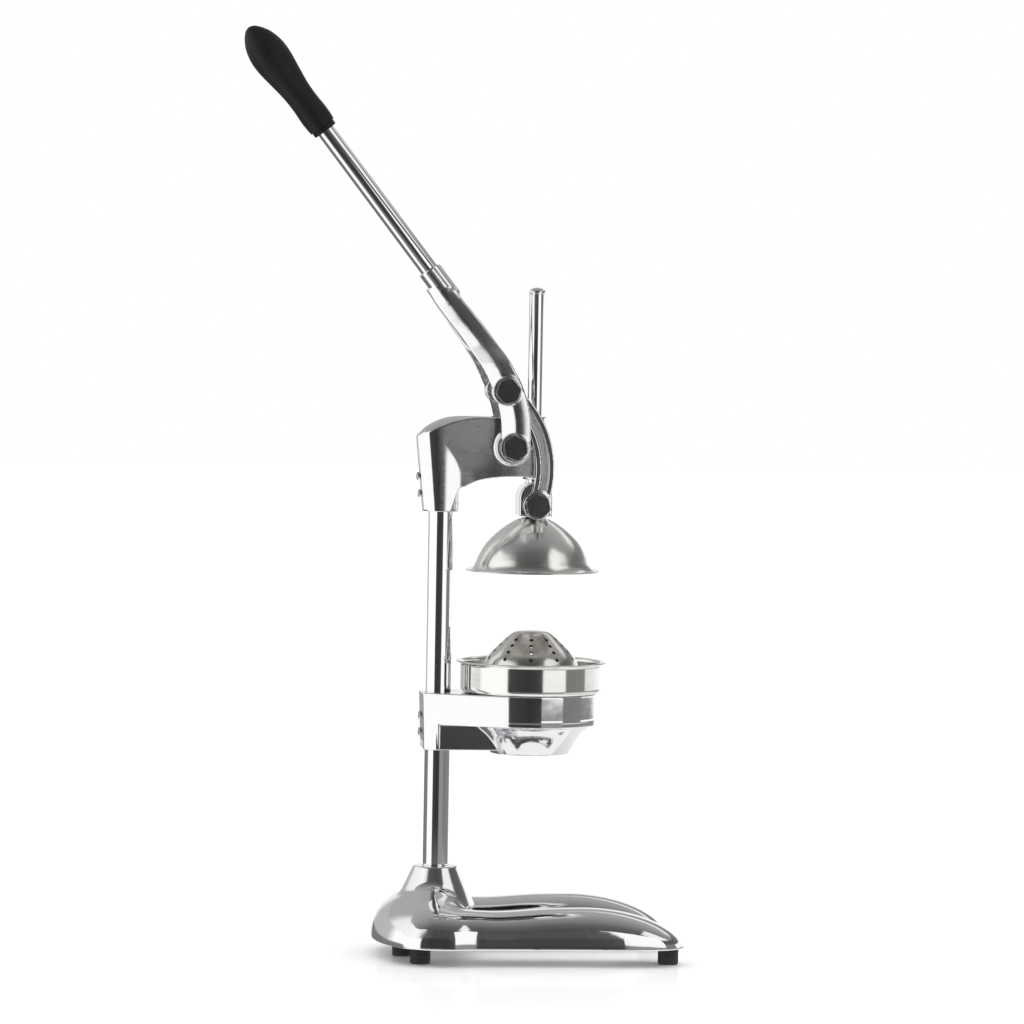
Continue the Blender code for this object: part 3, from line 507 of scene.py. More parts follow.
def base_skin(x, y, z):
    """A horseshoe with full rounded sections, and a steep dome over its rear that carries the column."""
    u, h = np.abs(y), np.maximum(z - BASE_BOTTOM, 0.0)
    bx = np.minimum(x, 0.0)
    k0 = np.sqrt((bx / 19.0) ** 2 + (u / 52.0) ** 2)
    k1 = np.sqrt((bx / 361.0) ** 2 + (u / 2704.0) ** 2)
    off = k0 * (k0 - 1) / np.maximum(k1, 1e-6)
    outer, inner, height = leg_numbers(x)
    width = np.maximum(np.where(off > 0, outer, inner), 0.5)
    height = np.maximum(height, 0.5)
    power = 2.4  # the sections are squarer than an ellipse
    a, b = np.abs(off) / width, h / height
    k0 = (a**power + b**power) ** (1 / power)
    k1 = np.hypot(a ** (power - 1) / width, b ** (power - 1) / height)
    leg = (k0 - 1) * np.maximum(k0, 1e-3) ** (power - 1) / np.maximum(k1, 1e-6)
    leg = np.maximum(leg, x - 190.8)
    sx = np.where(x < -4.0, 41.0, 37.0)
    total = (np.abs(x + 4.0) / sx) ** 1.75 + (u / 64.0) ** 2.3 + (h / 46.0) ** 1.75
    dome = (total ** (1 / 1.75) - 1) * 33.0
    return smin(leg, dome, 11.0)


BOSS_R = table([40, 50, 60, 71.5], [31.9, 27.4, 22.7, 17.4])
FEET = ((-16.4, 52.0), (-25.0, 0.0), (178.5, 52.0))


def base_field(x, y, z):
    rho = np.hypot(x, y)
    skin = base_skin(x, y, z)
    cone = smax((rho - BOSS_R(z)) * 0.9, np.maximum(z - 71.5, 40.0 - z), 1.0)
    outer = smin(skin, cone, 2.6)
    solid = smax(outer, BASE_BOTTOM - z, 1.6)
    hollow = np.maximum(outer + 4.0, z - 60.0)
    posts = np.maximum(rho - 16.0, 22.6 - z)
    for px, py in FEET:
        post = np.maximum(np.hypot(x - px, np.abs(y) - py) - 7.5, BASE_BOTTOM - z)
        posts = np.minimum(posts, post)
    hollow = np.maximum(hollow, -posts)
    body = np.maximum(solid, -hollow)
    seat = np.maximum(rho - 10.3, 30.0 - z)
    body = smax(body, -seat, 0.8)
    return np.maximum(body, -np.maximum(rho - 4.3, z - 35.0))


def make_base():
    base = cast_piece("base_casting", base_field, (-50, -88, 12), (193, 88, 73.5), 1.15)
    finish_piece(base, "frame", "base", CAST)
    raw_where(base, lambda p, n: (n[:, 2] < -0.3) & (p[:, 2] > 14.5))
    profile = rounded([(2.3, 13.2), (8, 13.2), (8, 11.9), (7.7, 11.6), (8, 11.3), (8, 8.6)], 0.2, 3)
    lower = [(8, 8.4), (7.7, 8.1), (8, 7.8), (8, 4.6), (7.7, 4.3), (8, 4.0), (8, 1), (7.2, 0)]
    profile += rounded(lower, 0.2, 3) + [(4.4, 0), (4.4, 6), (2.3, 6)]
    (rx, ry), (cx, cy), (fx, fy) = FEET
    feet = {"rear_left": (rx, ry), "rear_right": (rx, -ry), "rear_centre": (cx, cy)}
    feet |= {"front_left": (fx, fy), "front_right": (fx, -fy)}
    for name, (x, y) in feet.items():
        foot = lathe("rubber_" + name, profile, (x, y, 0), segments=48, sharp=50)
        finish_piece(foot, "frame", "foot_" + name, RUBBER)


def make_column():
    tube = rounded([(7.7, 402), (10, 402), (10, 30.3), (7.7, 30.3)], 0.4, 4)
    finish_piece(lathe("column_tube", tube, segments=160), "frame", "column", CHROME)


# ---- holder and sieve

RING = 52.0
CORNER = np.array((-13.4 - RAM_X, 14.0))
TANGENT = math.atan2(CORNER[1], CORNER[0]) - math.acos(RING / np.linalg.norm(CORNER))
SIDE_X, SIDE_Y = math.cos(TANGENT), math.sin(TANGENT)
FUNNEL_Z = [158, 160.5, 164, 167.7, 172, 176.2, 182, 190]
FUNNEL_OUT = table(FUNNEL_Z, [30.2, 31, 32.6, 34.6, 37.3, 40.5, 46.5, 53])
FUNNEL_IN = table([156, 160.5, 169, 177.6, 184.5, 188.5, 192], [27.2, 28.4, 31.4, 37.2, 43.5, 48.4, 48.4])


def ring_plan(x, y):
    """Signed distance to the arm's plan: two straight sides that run tangent to the ring."""
    u, rx = np.abs(y), x - RAM_X
    side = rx * SIDE_X + u * SIDE_Y - RING
    arm = smax(side, -13.4 - x, 1.6)
    arm = np.maximum(arm, rx - RING * SIDE_X)
    return np.minimum(arm, np.hypot(rx, y) - RING)


def holder_field(x, y, z):
    u, rr = np.abs(y), np.hypot(x - RAM_X, y)
    plan = ring_plan(x, y) - (z - 195.9) * 0.035
    band = smax(plan, np.abs(z - 195.9) - 12.4, 1.0)
    clamp = smax(smax(plan, x + 1.0, 0.8), np.abs(z - 185.9) - 22.4, 1.0)
    web = smax(smax(u - 18.0, 163.5 - z, 1.0), most(z - 187.0, -3.0 - x, x - 66.0), 0.5)
    funnel = smax((rr - FUNNEL_OUT(z)) * 0.8, most(160.5 - z, z - 188.0), 0.8)
    body = smin(np.minimum(band, clamp), funnel, 1.2)
    body = smin(body, web, 0.9)
    hollow = np.maximum((rr - FUNNEL_IN(z)) * 0.8, 150.0 - z)
    body = smax(body, -hollow, 0.7)
    return smax(body, 10.3 - np.hypot(x, y), 0.5)


def make_holder():
    holder = cast_piece("holder_casting", holder_field, (-16, -54, 158), (127, 54, 210.5), 0.85)
    finish_piece(holder, "frame", "holder", CAST)

    def unpolished(p, n):
        inside = np.hypot(p[:, 0] - RAM_X, p[:, 1]) < 50.0
        return (n[:, 0] < -0.9) & (p[:, 0] < -12.5) | inside & (n[:, 2] > 0.2) & (p[:, 2] < 190)

    raw_where(holder, unpolished)


CUP_BODY = [(55.9, 232.9), (58.9, 233.4, 0.5), (60.0, 232.6, 0.7), (59.0, 231.9, 0.5), (56.6, 231.8, 0.9)]
CUP_BODY += [(55.6, 230.4, 0.8), (55.6, 211.4, 2.2), (54.3, 208.9, 0.9), (48.1, 208.7, 0.6), (48.1, 196, 0.2)]
CUP_BODY += [(47.3, 196, 0.2), (47.3, 209.6, 0.8), (53.6, 209.8, 1.0), (54.7, 211.8, 1.6), (54.7, 231.2, 1.4)]
CUP_BODY += [(55.9, 232.9)]


def make_cup():
    cup = lathe("sieve_cup_spun", rounded(CUP_BODY, 0.4, 6), (RAM_X, 0, 0), segments=224, sharp=60)
    finish_piece(cup, "sieve", "sieve_cup", CUP_STEEL)


CONE_LINE = [(0, 257.0), (4, 256.98), (8, 256.8), (11.5, 256.4), (14, 255.6), (17, 253.6), (21, 250.1)]
CONE_LINE += [(27.9, 243.7), (31.8, 239.6), (34.5, 236), (37, 230.6), (38.5, 226), (40, 219.5), (41.4, 212)]
CONE_OUT = smooth(CONE_LINE, 8)
HOLE_ROWS = [20.4, 25.3, 30.2, 34.6]
HOLE_COLUMNS = 10
HOLE_TURN = math.radians(-97.3)


def wall_at(radius):
    """The cone's outer height and slope at a radius."""
    radii, heights = zip(*CONE_OUT)
    step = 0.3
    high, low = np.interp((radius - step, radius + step), radii, heights)
    return np.interp(radius, radii, heights), math.atan2(high - low, 2 * step)


def hole_cutter(name, rows, size):
    """All the holes of one piece as a hidden mesh of round pegs."""
    points, faces, sides = [], [], 20
    for column in range(HOLE_COLUMNS):
        turn = HOLE_TURN + 2 * math.pi * column / HOLE_COLUMNS
        for radius, height, lean in rows:
            first = len(points)
            for end in (-4.0, 4.0):
                for k in range(sides):
                    a = 2 * math.pi * k / sides
                    u, v = size * math.cos(a), size * math.sin(a)
                    r = radius + u * math.cos(lean) + end * math.sin(lean)
                    h = height - u * math.sin(lean) + end * math.cos(lean)
                    x, y = r * math.cos(turn) - v * math.sin(turn), r * math.sin(turn) + v * math.cos(turn)
                    points.append((x + RAM_X, y, h))
            low, high = range(first, first + sides), range(first + sides, first + 2 * sides)
            faces.append(list(low)[::-1])
            faces.append(list(high))
            for k in range(sides):
                m = (k + 1) % sides
                faces.append([low[k], low[m], high[m], high[k]])
    return add_mesh(name, points, faces)


def drill(obj, cutter):
    """Cuts the holes, keeping the turned surface's own smooth shading round them."""
    whole = obj.data
    near = np.empty(len(whole.vertices) * 3)
    whole.vertices.foreach_get("normal", near)
    near = near.reshape(-1, 3)
    tree = KDTree(len(whole.vertices))
    for v in whole.vertices:
        tree.insert(v.co, v.index)
    tree.balance()
    holes = obj.modifiers.new("holes", "BOOLEAN")
    holes.operation, holes.solver, holes.object = "DIFFERENCE", "EXACT", cutter
    bpy.context.view_layer.update()
    result = obj.evaluated_get(bpy.context.evaluated_depsgraph_get())
    mesh = bpy.data.meshes.new_from_object(result)
    obj.modifiers.clear()
    obj.data = mesh
    smooth_at = {}
    for v in mesh.vertices:
        found = tree.find_n(v.co, 4)
        total = sum((near[i] / (distance + 1e-6) for _, i, distance in found), np.zeros(3))
        smooth_at[v.index] = total / max(np.linalg.norm(total), 1e-9)
    normals = np.empty((len(mesh.loops), 3))
    for polygon in mesh.polygons:
        own = np.array(polygon.normal)
        for loop in polygon.loop_indices:
            soft = smooth_at[mesh.loops[loop].vertex_index]
            normals[loop] = soft if soft @ own > 0.9 else own
    mesh.shade_smooth()
    mesh.normals_split_custom_set(normals.tolist())
    bpy.data.objects.remove(cutter, do_unlink=True)


def make_cone():
    inside = []
    for r, h in reversed(CONE_OUT):
        _, lean = wall_at(max(r, 0.4))
        inside.append((max(r - 1.1 * math.sin(lean), 0.0), h - 1.1 * math.cos(lean)))
    inside[-1] = (0.0, CONE_OUT[0][1] - 1.1)
    cone = lathe("strainer_pressed", CONE_OUT + inside, (RAM_X, 0, 0), segments=180, sharp=60)
    rows = [(r, *wall_at(r)) for r in HOLE_ROWS]
    drill(cone, hole_cutter("cone_holes", rows, 1.55))
    finish_piece(cone, "sieve", "strainer_cone", CONE_STEEL)
    # The inner faces and the hole walls take the near-black painted shade steel, which stands in for the
    # shade inside the cone.
    cone.data.materials.append(PAINTED_SHADE_STEEL)
    for polygon in cone.data.polygons:
        x, y, z = (polygon.center - Vector(RAM_AXIS)) * 1000
        if z < wall_at(max(math.hypot(x, y), 0.4))[0] - 0.35:
            polygon.material_index = 1
    ring = rounded([(36, 211.3), (53.3, 211.3, 0.4), (53.3, 210.1, 0.4), (36, 210.1)], 0.3, 4)
    ring = lathe("drain_plate", ring, (RAM_X, 0, 0), segments=180, sharp=60)
    drill(ring, hole_cutter("drain_holes", [(45.5, 210.7, 0.0)], 1.8))
    finish_piece(ring, "sieve", "drain_ring", CUP_STEEL)


# ---- head

HEAD_TOP = table(
    [-26, -20.8, -14, -6, 4, 13, 22, 40, 85], [404, 409, 415.7, 420.6, 424, 425, 425.2, 425.2, 425.2], 3000
)
HEAD_DROP = table([-26, -10, 0, 11.6, 19.5, 40, 85], [6.6, 6.0, 5.2, 3.0, 1.6, 0.5, 0.4], 1000)
HEAD_UNDER = table(
    [-30, 8, 11.6, 17.5, 25.4, 35.8, 45.8, 55.9, 66, 85],
    [350, 358, 366.8, 370, 373.9, 376.4, 377.6, 378.2, 378.3, 378.3], 3000
)


def ease(value, start, end):
    t = np.clip((value - start) / (end - start), 0, 1)
    return t * t * (3 - 2 * t)


def head_field(x, y, z):
    u = np.abs(y)
    lower = ease(z, 404.0, 378.0)
    pad = 1.1 * ease(x, 39.0, 45.0) * ease(z, 384.0, 402.0)
    half = 14.4 - 3.2 * lower * (1 - ease(x, 22.0, 60.0)) + pad
    plate = most(u - half, -x, x - RAM_X)
    plate = smax(plate, HEAD_UNDER(x) - z, 1.2)
    back = 15.0 + np.clip(z - 350.0, -5, 70) * 5.8 / 59.0
    rear = np.where(x < 0, (np.hypot(x / back, y / 14.4) - 1) * 14.4, np.hypot(x, y) - 14.4)
    socket = np.maximum(rear, 350.0 - z)
    body = smin(plate, socket, 1e-3 + 4.0 * lower)
    crown = HEAD_TOP(x) - HEAD_DROP(x) * np.minimum(y / 14.5, 1.4) ** 2
    body = smax(body, (z - crown) * 0.86, 1.0)
    nose = smax(np.hypot(x - RAM_X, y) - 9.0, most(375.8 - z, z - 425.0), 0.9)
    body = smin(body, nose, 2.5)
    px, pz = LEVER_PIVOT
    cheek = smax(np.hypot(x - px, z - pz) - 13.4, u - 25.2, 1.2)
    body = smin(body, cheek, 2.6)
    body = smax(body, 350.0 - z, 1.0)
    body = smax(body, -np.maximum(np.hypot(x, y) - 10.3, z - 402.3), 0.5)
    body = smax(body, 7.7 - np.hypot(x - RAM_X, y), 0.4)
    return np.maximum(body, 6.3 - np.hypot(x - px, z - pz))


def make_head():
    head = cast_piece("head_casting", head_field, (-25, -27, 348), (84, 27, 427.5), 0.8)
    finish_piece(head, "frame", "head", HEAD_CAST)


# ---- the links' circle

ARC_RADIUS = 74.7
LINK_HALF = 7.25
LINK_TRAVEL = math.radians(115.5)


def link_circle():
    top, foot = Vector(UPPER_PIVOT), Vector(LOWER_PIVOT)
    chord = foot - top
    half = chord.length / 2
    back = Vector((chord.y, -chord.x)).normalized()
    return (top + foot) / 2 + back * math.sqrt(ARC_RADIUS**2 - half**2)


# The centre of the links' bow at rest, and where the lever's last degree of swing leaves it,
# as the lever sees it: the fork's arms are cut back there, so that the links pass inside them.
LINK_CENTRE = link_circle()
SWUNG_CENTRE = Vector(UPPER_PIVOT) + Matrix.Rotation(LINK_TRAVEL, 2) @ (LINK_CENTRE - Vector(UPPER_PIVOT))


# ---- lever and handle

ARM_Z = [380, 401.6, 413, 425.2, 445.8, 459, 466.2, 479.5, 493.9, 504.6, 513.6, 522, 532]
ARM_X = table(ARM_Z, [54.2, 54.2, 54.2, 53.4, 48, 42, 38.2, 29.3, 19, 10.5, 3.5, -2.5, -10], 3000)
ARM_Y = table(ARM_Z, [29.5, 29.5, 29.5, 29.5, 29.5, 28.8, 26.2, 18.8, 13.4, 10.4, 7.6, 5.0, 4.0], 3000)
ARM_WIDTH = table(ARM_Z, [23, 23, 23, 23.2, 23, 22, 21.5, 20.4, 19.8, 19.4, 19.0, 18.6, 18.4], 2000)


def handle_frame(x, z):
    dx, dz = x - HANDLE_ROOT[0], z - HANDLE_ROOT[1]
    sin, cos = math.sin(HANDLE_LEAN), math.cos(HANDLE_LEAN)
    return dz * cos - dx * sin, dx * cos + dz * sin


def fork_field(x, y, z):
    u = np.sqrt(y * y + 0.8)
    px, pz = LEVER_PIVOT
    centre, outward, half = ARM_X(z), ARM_Y(z), ARM_WIDTH(z) / 2
    slope = (ARM_X(z + 1.0) - ARM_X(z - 1.0)) / 2
    spread = (ARM_Y(z + 1.0) - ARM_Y(z - 1.0)) / 2
    s = (x - centre) / np.sqrt(1 + slope**2)
    across = np.where(z < pz, np.hypot(x - 54.2, z - pz), np.abs(s)) - half
    t = (u - outward) / np.sqrt(1 + spread**2)
    share = s / np.maximum(half, 1)
    slope_left = 0.5 * (0.12 - share + np.sqrt((0.12 - share) ** 2 + 0.05))
    crown = 4.3 - 0.62 * half * slope_left - 1.6 * np.clip(share - 0.3, 0, 1) ** 2
    inner = -4.0 - 9.0 * np.clip((z - 486.0) / 14.0, 0, 1)
    arm = smax(across, smax(t - crown, inner - t, 0.8), 1.6)
    arm = np.maximum(arm, z - 523.0)
    link_edge = np.hypot(x - SWUNG_CENTRE.x, z - SWUNG_CENTRE.y) - ARC_RADIUS - LINK_HALF - 0.9
    arm = smax(arm, -np.maximum(u - 25.2, link_edge), 0.5)
    for ex, ez in (LEVER_PIVOT, UPPER_PIVOT):
        eye = smax(np.hypot(x - ex, z - ez) - 11.4, most(u - 33.5, 25.5 - u), 0.7)
        arm = smin(arm, eye, 0.7)
    along, off = handle_frame(x, z)
    rho = np.hypot(off, y)
    ferrule = smax(rho - 9.15, most(along - 15.0, -14.0 - along), 0.7)
    arm = smin(arm, ferrule, 3.0)
    arm = smax(arm, -np.maximum(rho - 7.3, -5.3 - along), 0.4)
    for ex, ez in (LEVER_PIVOT, UPPER_PIVOT):
        arm = np.maximum(arm, 6.3 - np.hypot(x - ex, z - ez))
    return arm


HANDLE_TURN = Matrix.Rotation(-HANDLE_LEAN, 4, "Y")
GRIP_LINE = [(10.9, 0), (11.35, 5), (11.55, 11), (11.1, 20), (11.0, 25), (11.4, 34.6), (13.0, 47.2)]
GRIP_LINE += [(14.75, 59.8), (15.15, 66.1), (14.9, 72.4), (13.6, 79), (11.4, 85), (7.3, 91.3)]
GRIP_LINE += [(3.6, 94.8), (0, 96)]


def make_lever():
    fork = cast_piece("fork_casting", fork_field, (-24, -35.5, 387), (70, 35.5, 543), 0.85)
    finish_piece(fork, "lever", "lever_fork", FORK_CAST)
    root = (HANDLE_ROOT[0], 0, HANDLE_ROOT[1])
    rod = [(0, 235), (7, 235, 0.8), (7, -5, 0.4), (0, -5)]
    rod = lathe("handle_tube", rounded(rod, 0.5, 4), root, HANDLE_TURN, 128)
    finish_piece(rod, "lever", "handle_rod", CHROME)
    line = smooth([(r, 154.3 + h) for r, h in reversed(GRIP_LINE)], 10)
    line += [(10.6, 154.05), (10.2, 153.95), (7.3, 153.95), (7.3, 236), (0, 236)]
    grip = lathe("grip_moulding", line, root, HANDLE_TURN, 144, 50)
    finish_piece(grip, "lever", "grip", PLASTIC)
    collar = rounded([(7.3, 153.9), (9.8, 153.9, 0.5), (9.8, 150.0, 0.6), (7.3, 150.0)], 0.4, 4)
    collar = lathe("grip_ring", collar, root, HANDLE_TURN, 96, 60)
    finish_piece(collar, "lever", "grip_collar", PLASTIC)


# ---- links, ram and bell

def link_field(x, y, z):
    """A bowed bar with a raised rib along both edges, between two round bosses."""
    s = np.hypot(x - LINK_CENTRE.x, z - LINK_CENTRE.y) - ARC_RADIUS
    ends = [np.hypot(x - ex, z - ez) for ex, ez in (UPPER_PIVOT, LOWER_PIVOT)]
    chord = Vector(LOWER_PIVOT) - Vector(UPPER_PIVOT)
    length = chord.length
    along = ((x - UPPER_PIVOT[0]) * chord.x + (z - UPPER_PIVOT[1]) * chord.y) / length
    t = np.abs(y - 20.65)
    bar = smax(np.abs(s) - LINK_HALF, t - 3.85, 0.9)
    bar = np.maximum(bar, np.maximum(-along, along - length))
    recess = most(np.abs(s) - 2.5 - np.clip(t - 1.4, 0, 3) * 0.33, 13.6 - ends[0], 13.2 - ends[1])
    recess = smax(recess, 1.4 - t, 0.8)
    bar = smax(bar, -recess, 0.5)
    for end in ends:
        bar = smin(bar, smax(end - 11.0, t - 4.35, 1.0), 1.6)
    for end in ends:
        bar = np.maximum(bar, 6.3 - end)
    return bar


def block_field(x, y, z):
    """The crosshead: square below, round on top, bored for the rod."""
    u, rx = np.abs(y), x - RAM_X
    square = most(np.abs(rx) - 13.2, 347.1 - z, z - 361.3)
    round_top = np.hypot(rx, z - 361.3) - 13.2
    body = smax(np.minimum(square, round_top), u - 16.0, 2.4)
    body = smax(body, 347.1 - z, 1.2)
    return smax(body, 6.6 - np.hypot(rx, y), 0.5)


def make_links():
    def web(p, n):
        s = np.hypot(p[:, 0] - LINK_CENTRE.x, p[:, 2] - LINK_CENTRE.y) - ARC_RADIUS
        t = np.abs(np.abs(p[:, 1]) - 20.65)
        return (np.abs(s) < 3.0) & (t < 1.9) & (np.abs(n[:, 1]) > 0.8)

    for name, side in (("left", 1), ("right", -1)):
        near, far = sorted((15.2 * side, 26.4 * side))
        field = lambda x, y, z: link_field(x, side * y, z)
        link = cast_piece(f"link_{name}_casting", field, (36, near, 343.5), (92, far, 458), 0.5)
        finish_piece(link, "links", "link_" + name, CAST)
        raw_where(link, web)


BELL_OUT = [(4.3, 346.6), (9.6, 346.0), (13.5, 344.2), (18.2, 341.6), (25, 337), (31.7, 331.2), (36.5, 326.2)]
BELL_OUT += [(40, 321.2), (43.4, 314.5), (45.9, 308.6), (47.2, 306.5)]
BELL_IN = [(45.9, 306.3), (44.9, 308.4), (42.4, 314.2), (39, 320.6), (35.6, 325.4), (31, 330.2)]
BELL_IN += [(24.4, 335.9), (17.8, 340.5), (13, 343.0), (9.3, 344.7), (4.3, 345.4)]


def make_ram():
    block = cast_piece("crosshead_casting", block_field, (57, -18, 345), (89, 18, 376.5), 0.7)
    finish_piece(block, "ram", "ram_block", CAST)
    rod = rounded([(0, 522), (6.25, 522), (6.25, 347), (4, 347), (4, 336.5), (0, 336.5)], 0.3, 3)
    rod = lathe("ram_rod_ground", rod, (RAM_X, 0, 0), segments=128)
    finish_piece(rod, "ram", "ram_rod", CHROME)
    dome = [(6.5 * math.sin(a), 522.4 + 4.0 * math.cos(a)) for a in np.linspace(0, math.pi / 2, 16)]
    dome += rounded([(6.5, 521.9), (6.3, 521.6), (6.3, 521.2), (6.26, 521.1)], 0.1, 2)
    dome += [(6.26, 522.05), (0, 522.05)]
    cap = lathe("rod_dome", dome, (RAM_X, 0, 0), segments=96)
    finish_piece(cap, "ram", "rod_cap", CHROME)
    rim = rounded([(48.0, 305.5, 0.6), (50.4, 304.95, 0.8), (52.7, 304.9, 0.3), (53.0, 304.2, 0.4)], 0.5, 5)
    rim += rounded([(52.5, 303.8, 0.3), (49.8, 303.9, 0.8), (47.0, 304.9, 0.6)], 0.5, 5)
    profile = smooth(BELL_OUT, 8) + rim + smooth(BELL_IN, 8)
    bell = lathe("bell_spun", profile, (RAM_X, 0, 0), segments=224, sharp=70)
    finish_piece(bell, "ram", "bell", BELL_STEEL)


# ---- fasteners


def hex_field(pivot, turn, half, low, high, shank, tip):
    """A hex head with a chamfered crown and a washer face, on its shank; |y| runs outward."""
    px, pz = pivot
    facets = [math.radians(turn + 30 + 60 * i) for i in range(3)]

    def field(x, y, z):
        dx, dz, rho = x - px, z - pz, np.hypot(x - px, z - pz)
        sides = most(*(np.abs(dx * math.cos(a) + dz * math.sin(a)) - half for a in facets))
        head = smax(sides, most(y - high, low + 0.5 - y), 0.3)
        chamfer = (rho - half * 1.07) * 0.55 + (y - high) * 0.835
        head = smax(head, chamfer, 0.25)
        washer = smax(rho - half * 0.97, most(low - y, y - low - 1.0), 0.2)
        head = np.minimum(head, washer)
        if shank:
            head = np.minimum(head, smax(rho - shank, most(y - low - 1, tip - y), 0.3))
        else:
            head = smax(head, 6.3 - rho, 0.4)
        return head

    return field


def make_hex(name, node, body, pivot, side, turn, low, high, shank=6.0, tip=0.0, half=9.0):
    field = hex_field(pivot, turn, half, low, high, shank, tip)
    sided = (lambda x, y, z: field(x, -y, z)) if side < 0 else field
    px, pz = pivot
    near, far = (tip if shank else low) - 1.2, high + 1.2
    ends = (near, far) if side > 0 else (-far, -near)
    reach = half * 1.16 + 1.2
    piece = cast_piece(name, sided, (px - reach, ends[0], pz - reach), (px + reach, ends[1], pz + reach), 0.5)
    finish_piece(piece, body, node, BOLT)


def make_fasteners():
    outer, inner, nut = (33.8, 40.3), (25.3, 31.8), (11.0, 16.0)
    make_hex("pivot_bolt_head", "pivot_bolt", "frame", LEVER_PIVOT, -1, 40, *outer, 6.0, -41.0)
    make_hex("pivot_nut_hex", "pivot_nut", "frame", LEVER_PIVOT, 1, 17, *outer, 0)
    for side, name, upper, lower in ((1, "left", 26, 5), (-1, "right", 13, 43)):
        head, node = "upper_hex_" + name, "upper_bolt_" + name
        make_hex(head, node, "lever", UPPER_PIVOT, side, upper, *outer, 6.0, 10.6)
        head, node = "upper_nut_hex_" + name, "upper_nut_" + name
        make_hex(head, node, "lever", UPPER_PIVOT, side, 8, *nut, 0, 0, 8.2)
        head, node = "lower_hex_" + name, "lower_bolt_" + name
        make_hex(head, node, "links", LOWER_PIVOT, side, lower, *inner, 6.0, 16.3)
    backs = {"holder_screw_1": (-13.7, 177.0), "holder_screw_2": (-13.7, 190.0)}
    for number, height in ((1, 364.0), (2, 377.5)):
        backs[f"head_screw_{number}"] = (-15.5 - (height - 350) * 5.8 / 59, height)
    for name, (face, height) in backs.items():
        make_back_screw(name, face, height)


def make_back_screw(name, face, height):
    """A pan head with a cross recess, and its shank down to the column."""

    def field(x, y, z):
        rho = np.hypot(y, z - height)
        dome = np.sqrt(rho**2 * 0.55 + (face + 1.4 - x) ** 2) - 3.5
        head = smax(smax(rho - 3.3, dome, 0.8), x - face, 0.3)
        across, up = np.abs(y), np.abs(z - height)
        cross = np.minimum(np.maximum(across - 0.5, up - 1.7), np.maximum(up - 0.5, across - 1.7))
        head = smax(head, -np.maximum(cross, x - face + 1.0), 0.2)
        shank = most(rho - 2.0, x + 9.8, face - 0.5 - x)
        return np.minimum(head, shank)

    piece = cast_piece(name + "_pan", field, (face - 4, -5, height - 5), (-9, 5, height + 5), 0.32)
    finish_piece(piece, "frame", name, ZINC)


def finish_kept_nodes():
    finishes = {"base_bolt": BOLT, "bell_nut": BOLT, "base_washer": ZINC, "column_plug": ZINC}
    finishes |= {"guide_bush_upper": BRONZE, "guide_bush_lower": BRONZE}
    for name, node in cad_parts.items():
        material = finishes.get(name, ZINC if name.startswith("foot_screw") else None)
        if material:
            node.data.materials.clear()
            node.data.materials.append(material)


# ---- studio

TARGET = Vector((COLUMN_X + 0.0559, 0.0, 0.350))
AZIMUTH, ELEVATION, ROLL = math.radians(-7), math.radians(2.86), math.radians(1)
DISTANCE = 5.0
VIEW_WIDTH = 0.80384  # metres across the picture, at the target


def make_camera():
    flat = math.cos(ELEVATION)
    back = Vector((math.sin(AZIMUTH) * flat, -math.cos(AZIMUTH) * flat, math.sin(ELEVATION)))
    right = (-back).cross(Vector((0, 0, 1))).normalized()
    up = right.cross(-back)
    cos, sin = math.cos(ROLL), math.sin(ROLL)
    right, up = right * cos + up * sin, up * cos - right * sin
    camera = bpy.data.cameras.new("camera")
    camera.sensor_width = 36.0
    camera.lens = camera.sensor_width * DISTANCE / VIEW_WIDTH
    camera.clip_end = 60.0
    obj = bpy.data.objects.new("camera", camera)
    turn = Matrix((right, up, back)).transposed().to_4x4()
    obj.matrix_world = Matrix.Translation(TARGET + back * DISTANCE) @ turn
    bpy.context.scene.collection.objects.link(obj)
    bpy.context.scene.camera = obj


def stand(name, points, faces, material, seen):
    """A part of the set: seen is False for a card that shows only in reflections."""
    mesh = bpy.data.meshes.new(name)
    mesh.from_pydata(points, [], faces)
    mesh.materials.append(material)
    obj = bpy.data.objects.new(name, mesh)
    bpy.context.scene.collection.objects.link(obj)
    for rays in ("camera", "diffuse", "shadow", "transmission", "volume_scatter"):
        setattr(obj, "visible_" + rays, seen)
    obj.visible_glossy = not seen
    return obj


# Brightness round the set at five heights: angle in degrees from the camera's side, positive
# towards +X, and brightness. White walls stand at the left, there is a dark gap round the camera,
# and grey flats stand at the right. Each level after the first starts over a span of height.
NEAR_FLOOR = [(-180, 1.0), (-168, 1.0), (-163, 0.16), (-88, 0.18), (-80, 1.15), (-40, 1.15), (-36, 0.2)]
NEAR_FLOOR += [(20, 0.2), (40, 0.6), (150, 0.9), (180, 1.0)]
LOW = [(-180, 1.0), (-168, 1.0), (-163, 0.2), (-93, 0.22), (-86, 1.15), (-38, 1.15), (-36.8, 0.06)]
LOW += [(0, 0.035), (18, 0.05), (26, 0.28), (44, 0.30), (52, 0.2), (98, 0.24), (146, 0.28)]
LOW += [(152, 1.0), (180, 1.0)]
MIDDLE = [(-180, 0.9), (-166, 0.9), (-160, 0.5), (-126, 0.55), (-116, 1.15), (-38, 1.15), (-36.8, 0.06)]
MIDDLE += [(-12, 0.04), (8, 0.05), (17, 0.075), (24, 0.2), (57, 0.3), (60, 0.2), (97, 0.25), (100, 1.1)]
MIDDLE += [(165, 1.1), (180, 0.9)]
HIGH = [(-180, 0.42), (-140, 0.45), (-128, 0.95), (-60, 1.1), (-46, 0.9), (-36, 0.12), (0, 0.07), (14, 0.09)]
HIGH += [(32, 0.12), (52, 0.12), (66, 0.11), (110, 0.12), (140, 0.2), (180, 0.42)]
TOP = [(-180, 0.42), (-140, 0.45), (-128, 0.95), (-60, 1.1), (-46, 0.9), (-36, 0.12), (0, 0.07), (34, 0.1)]
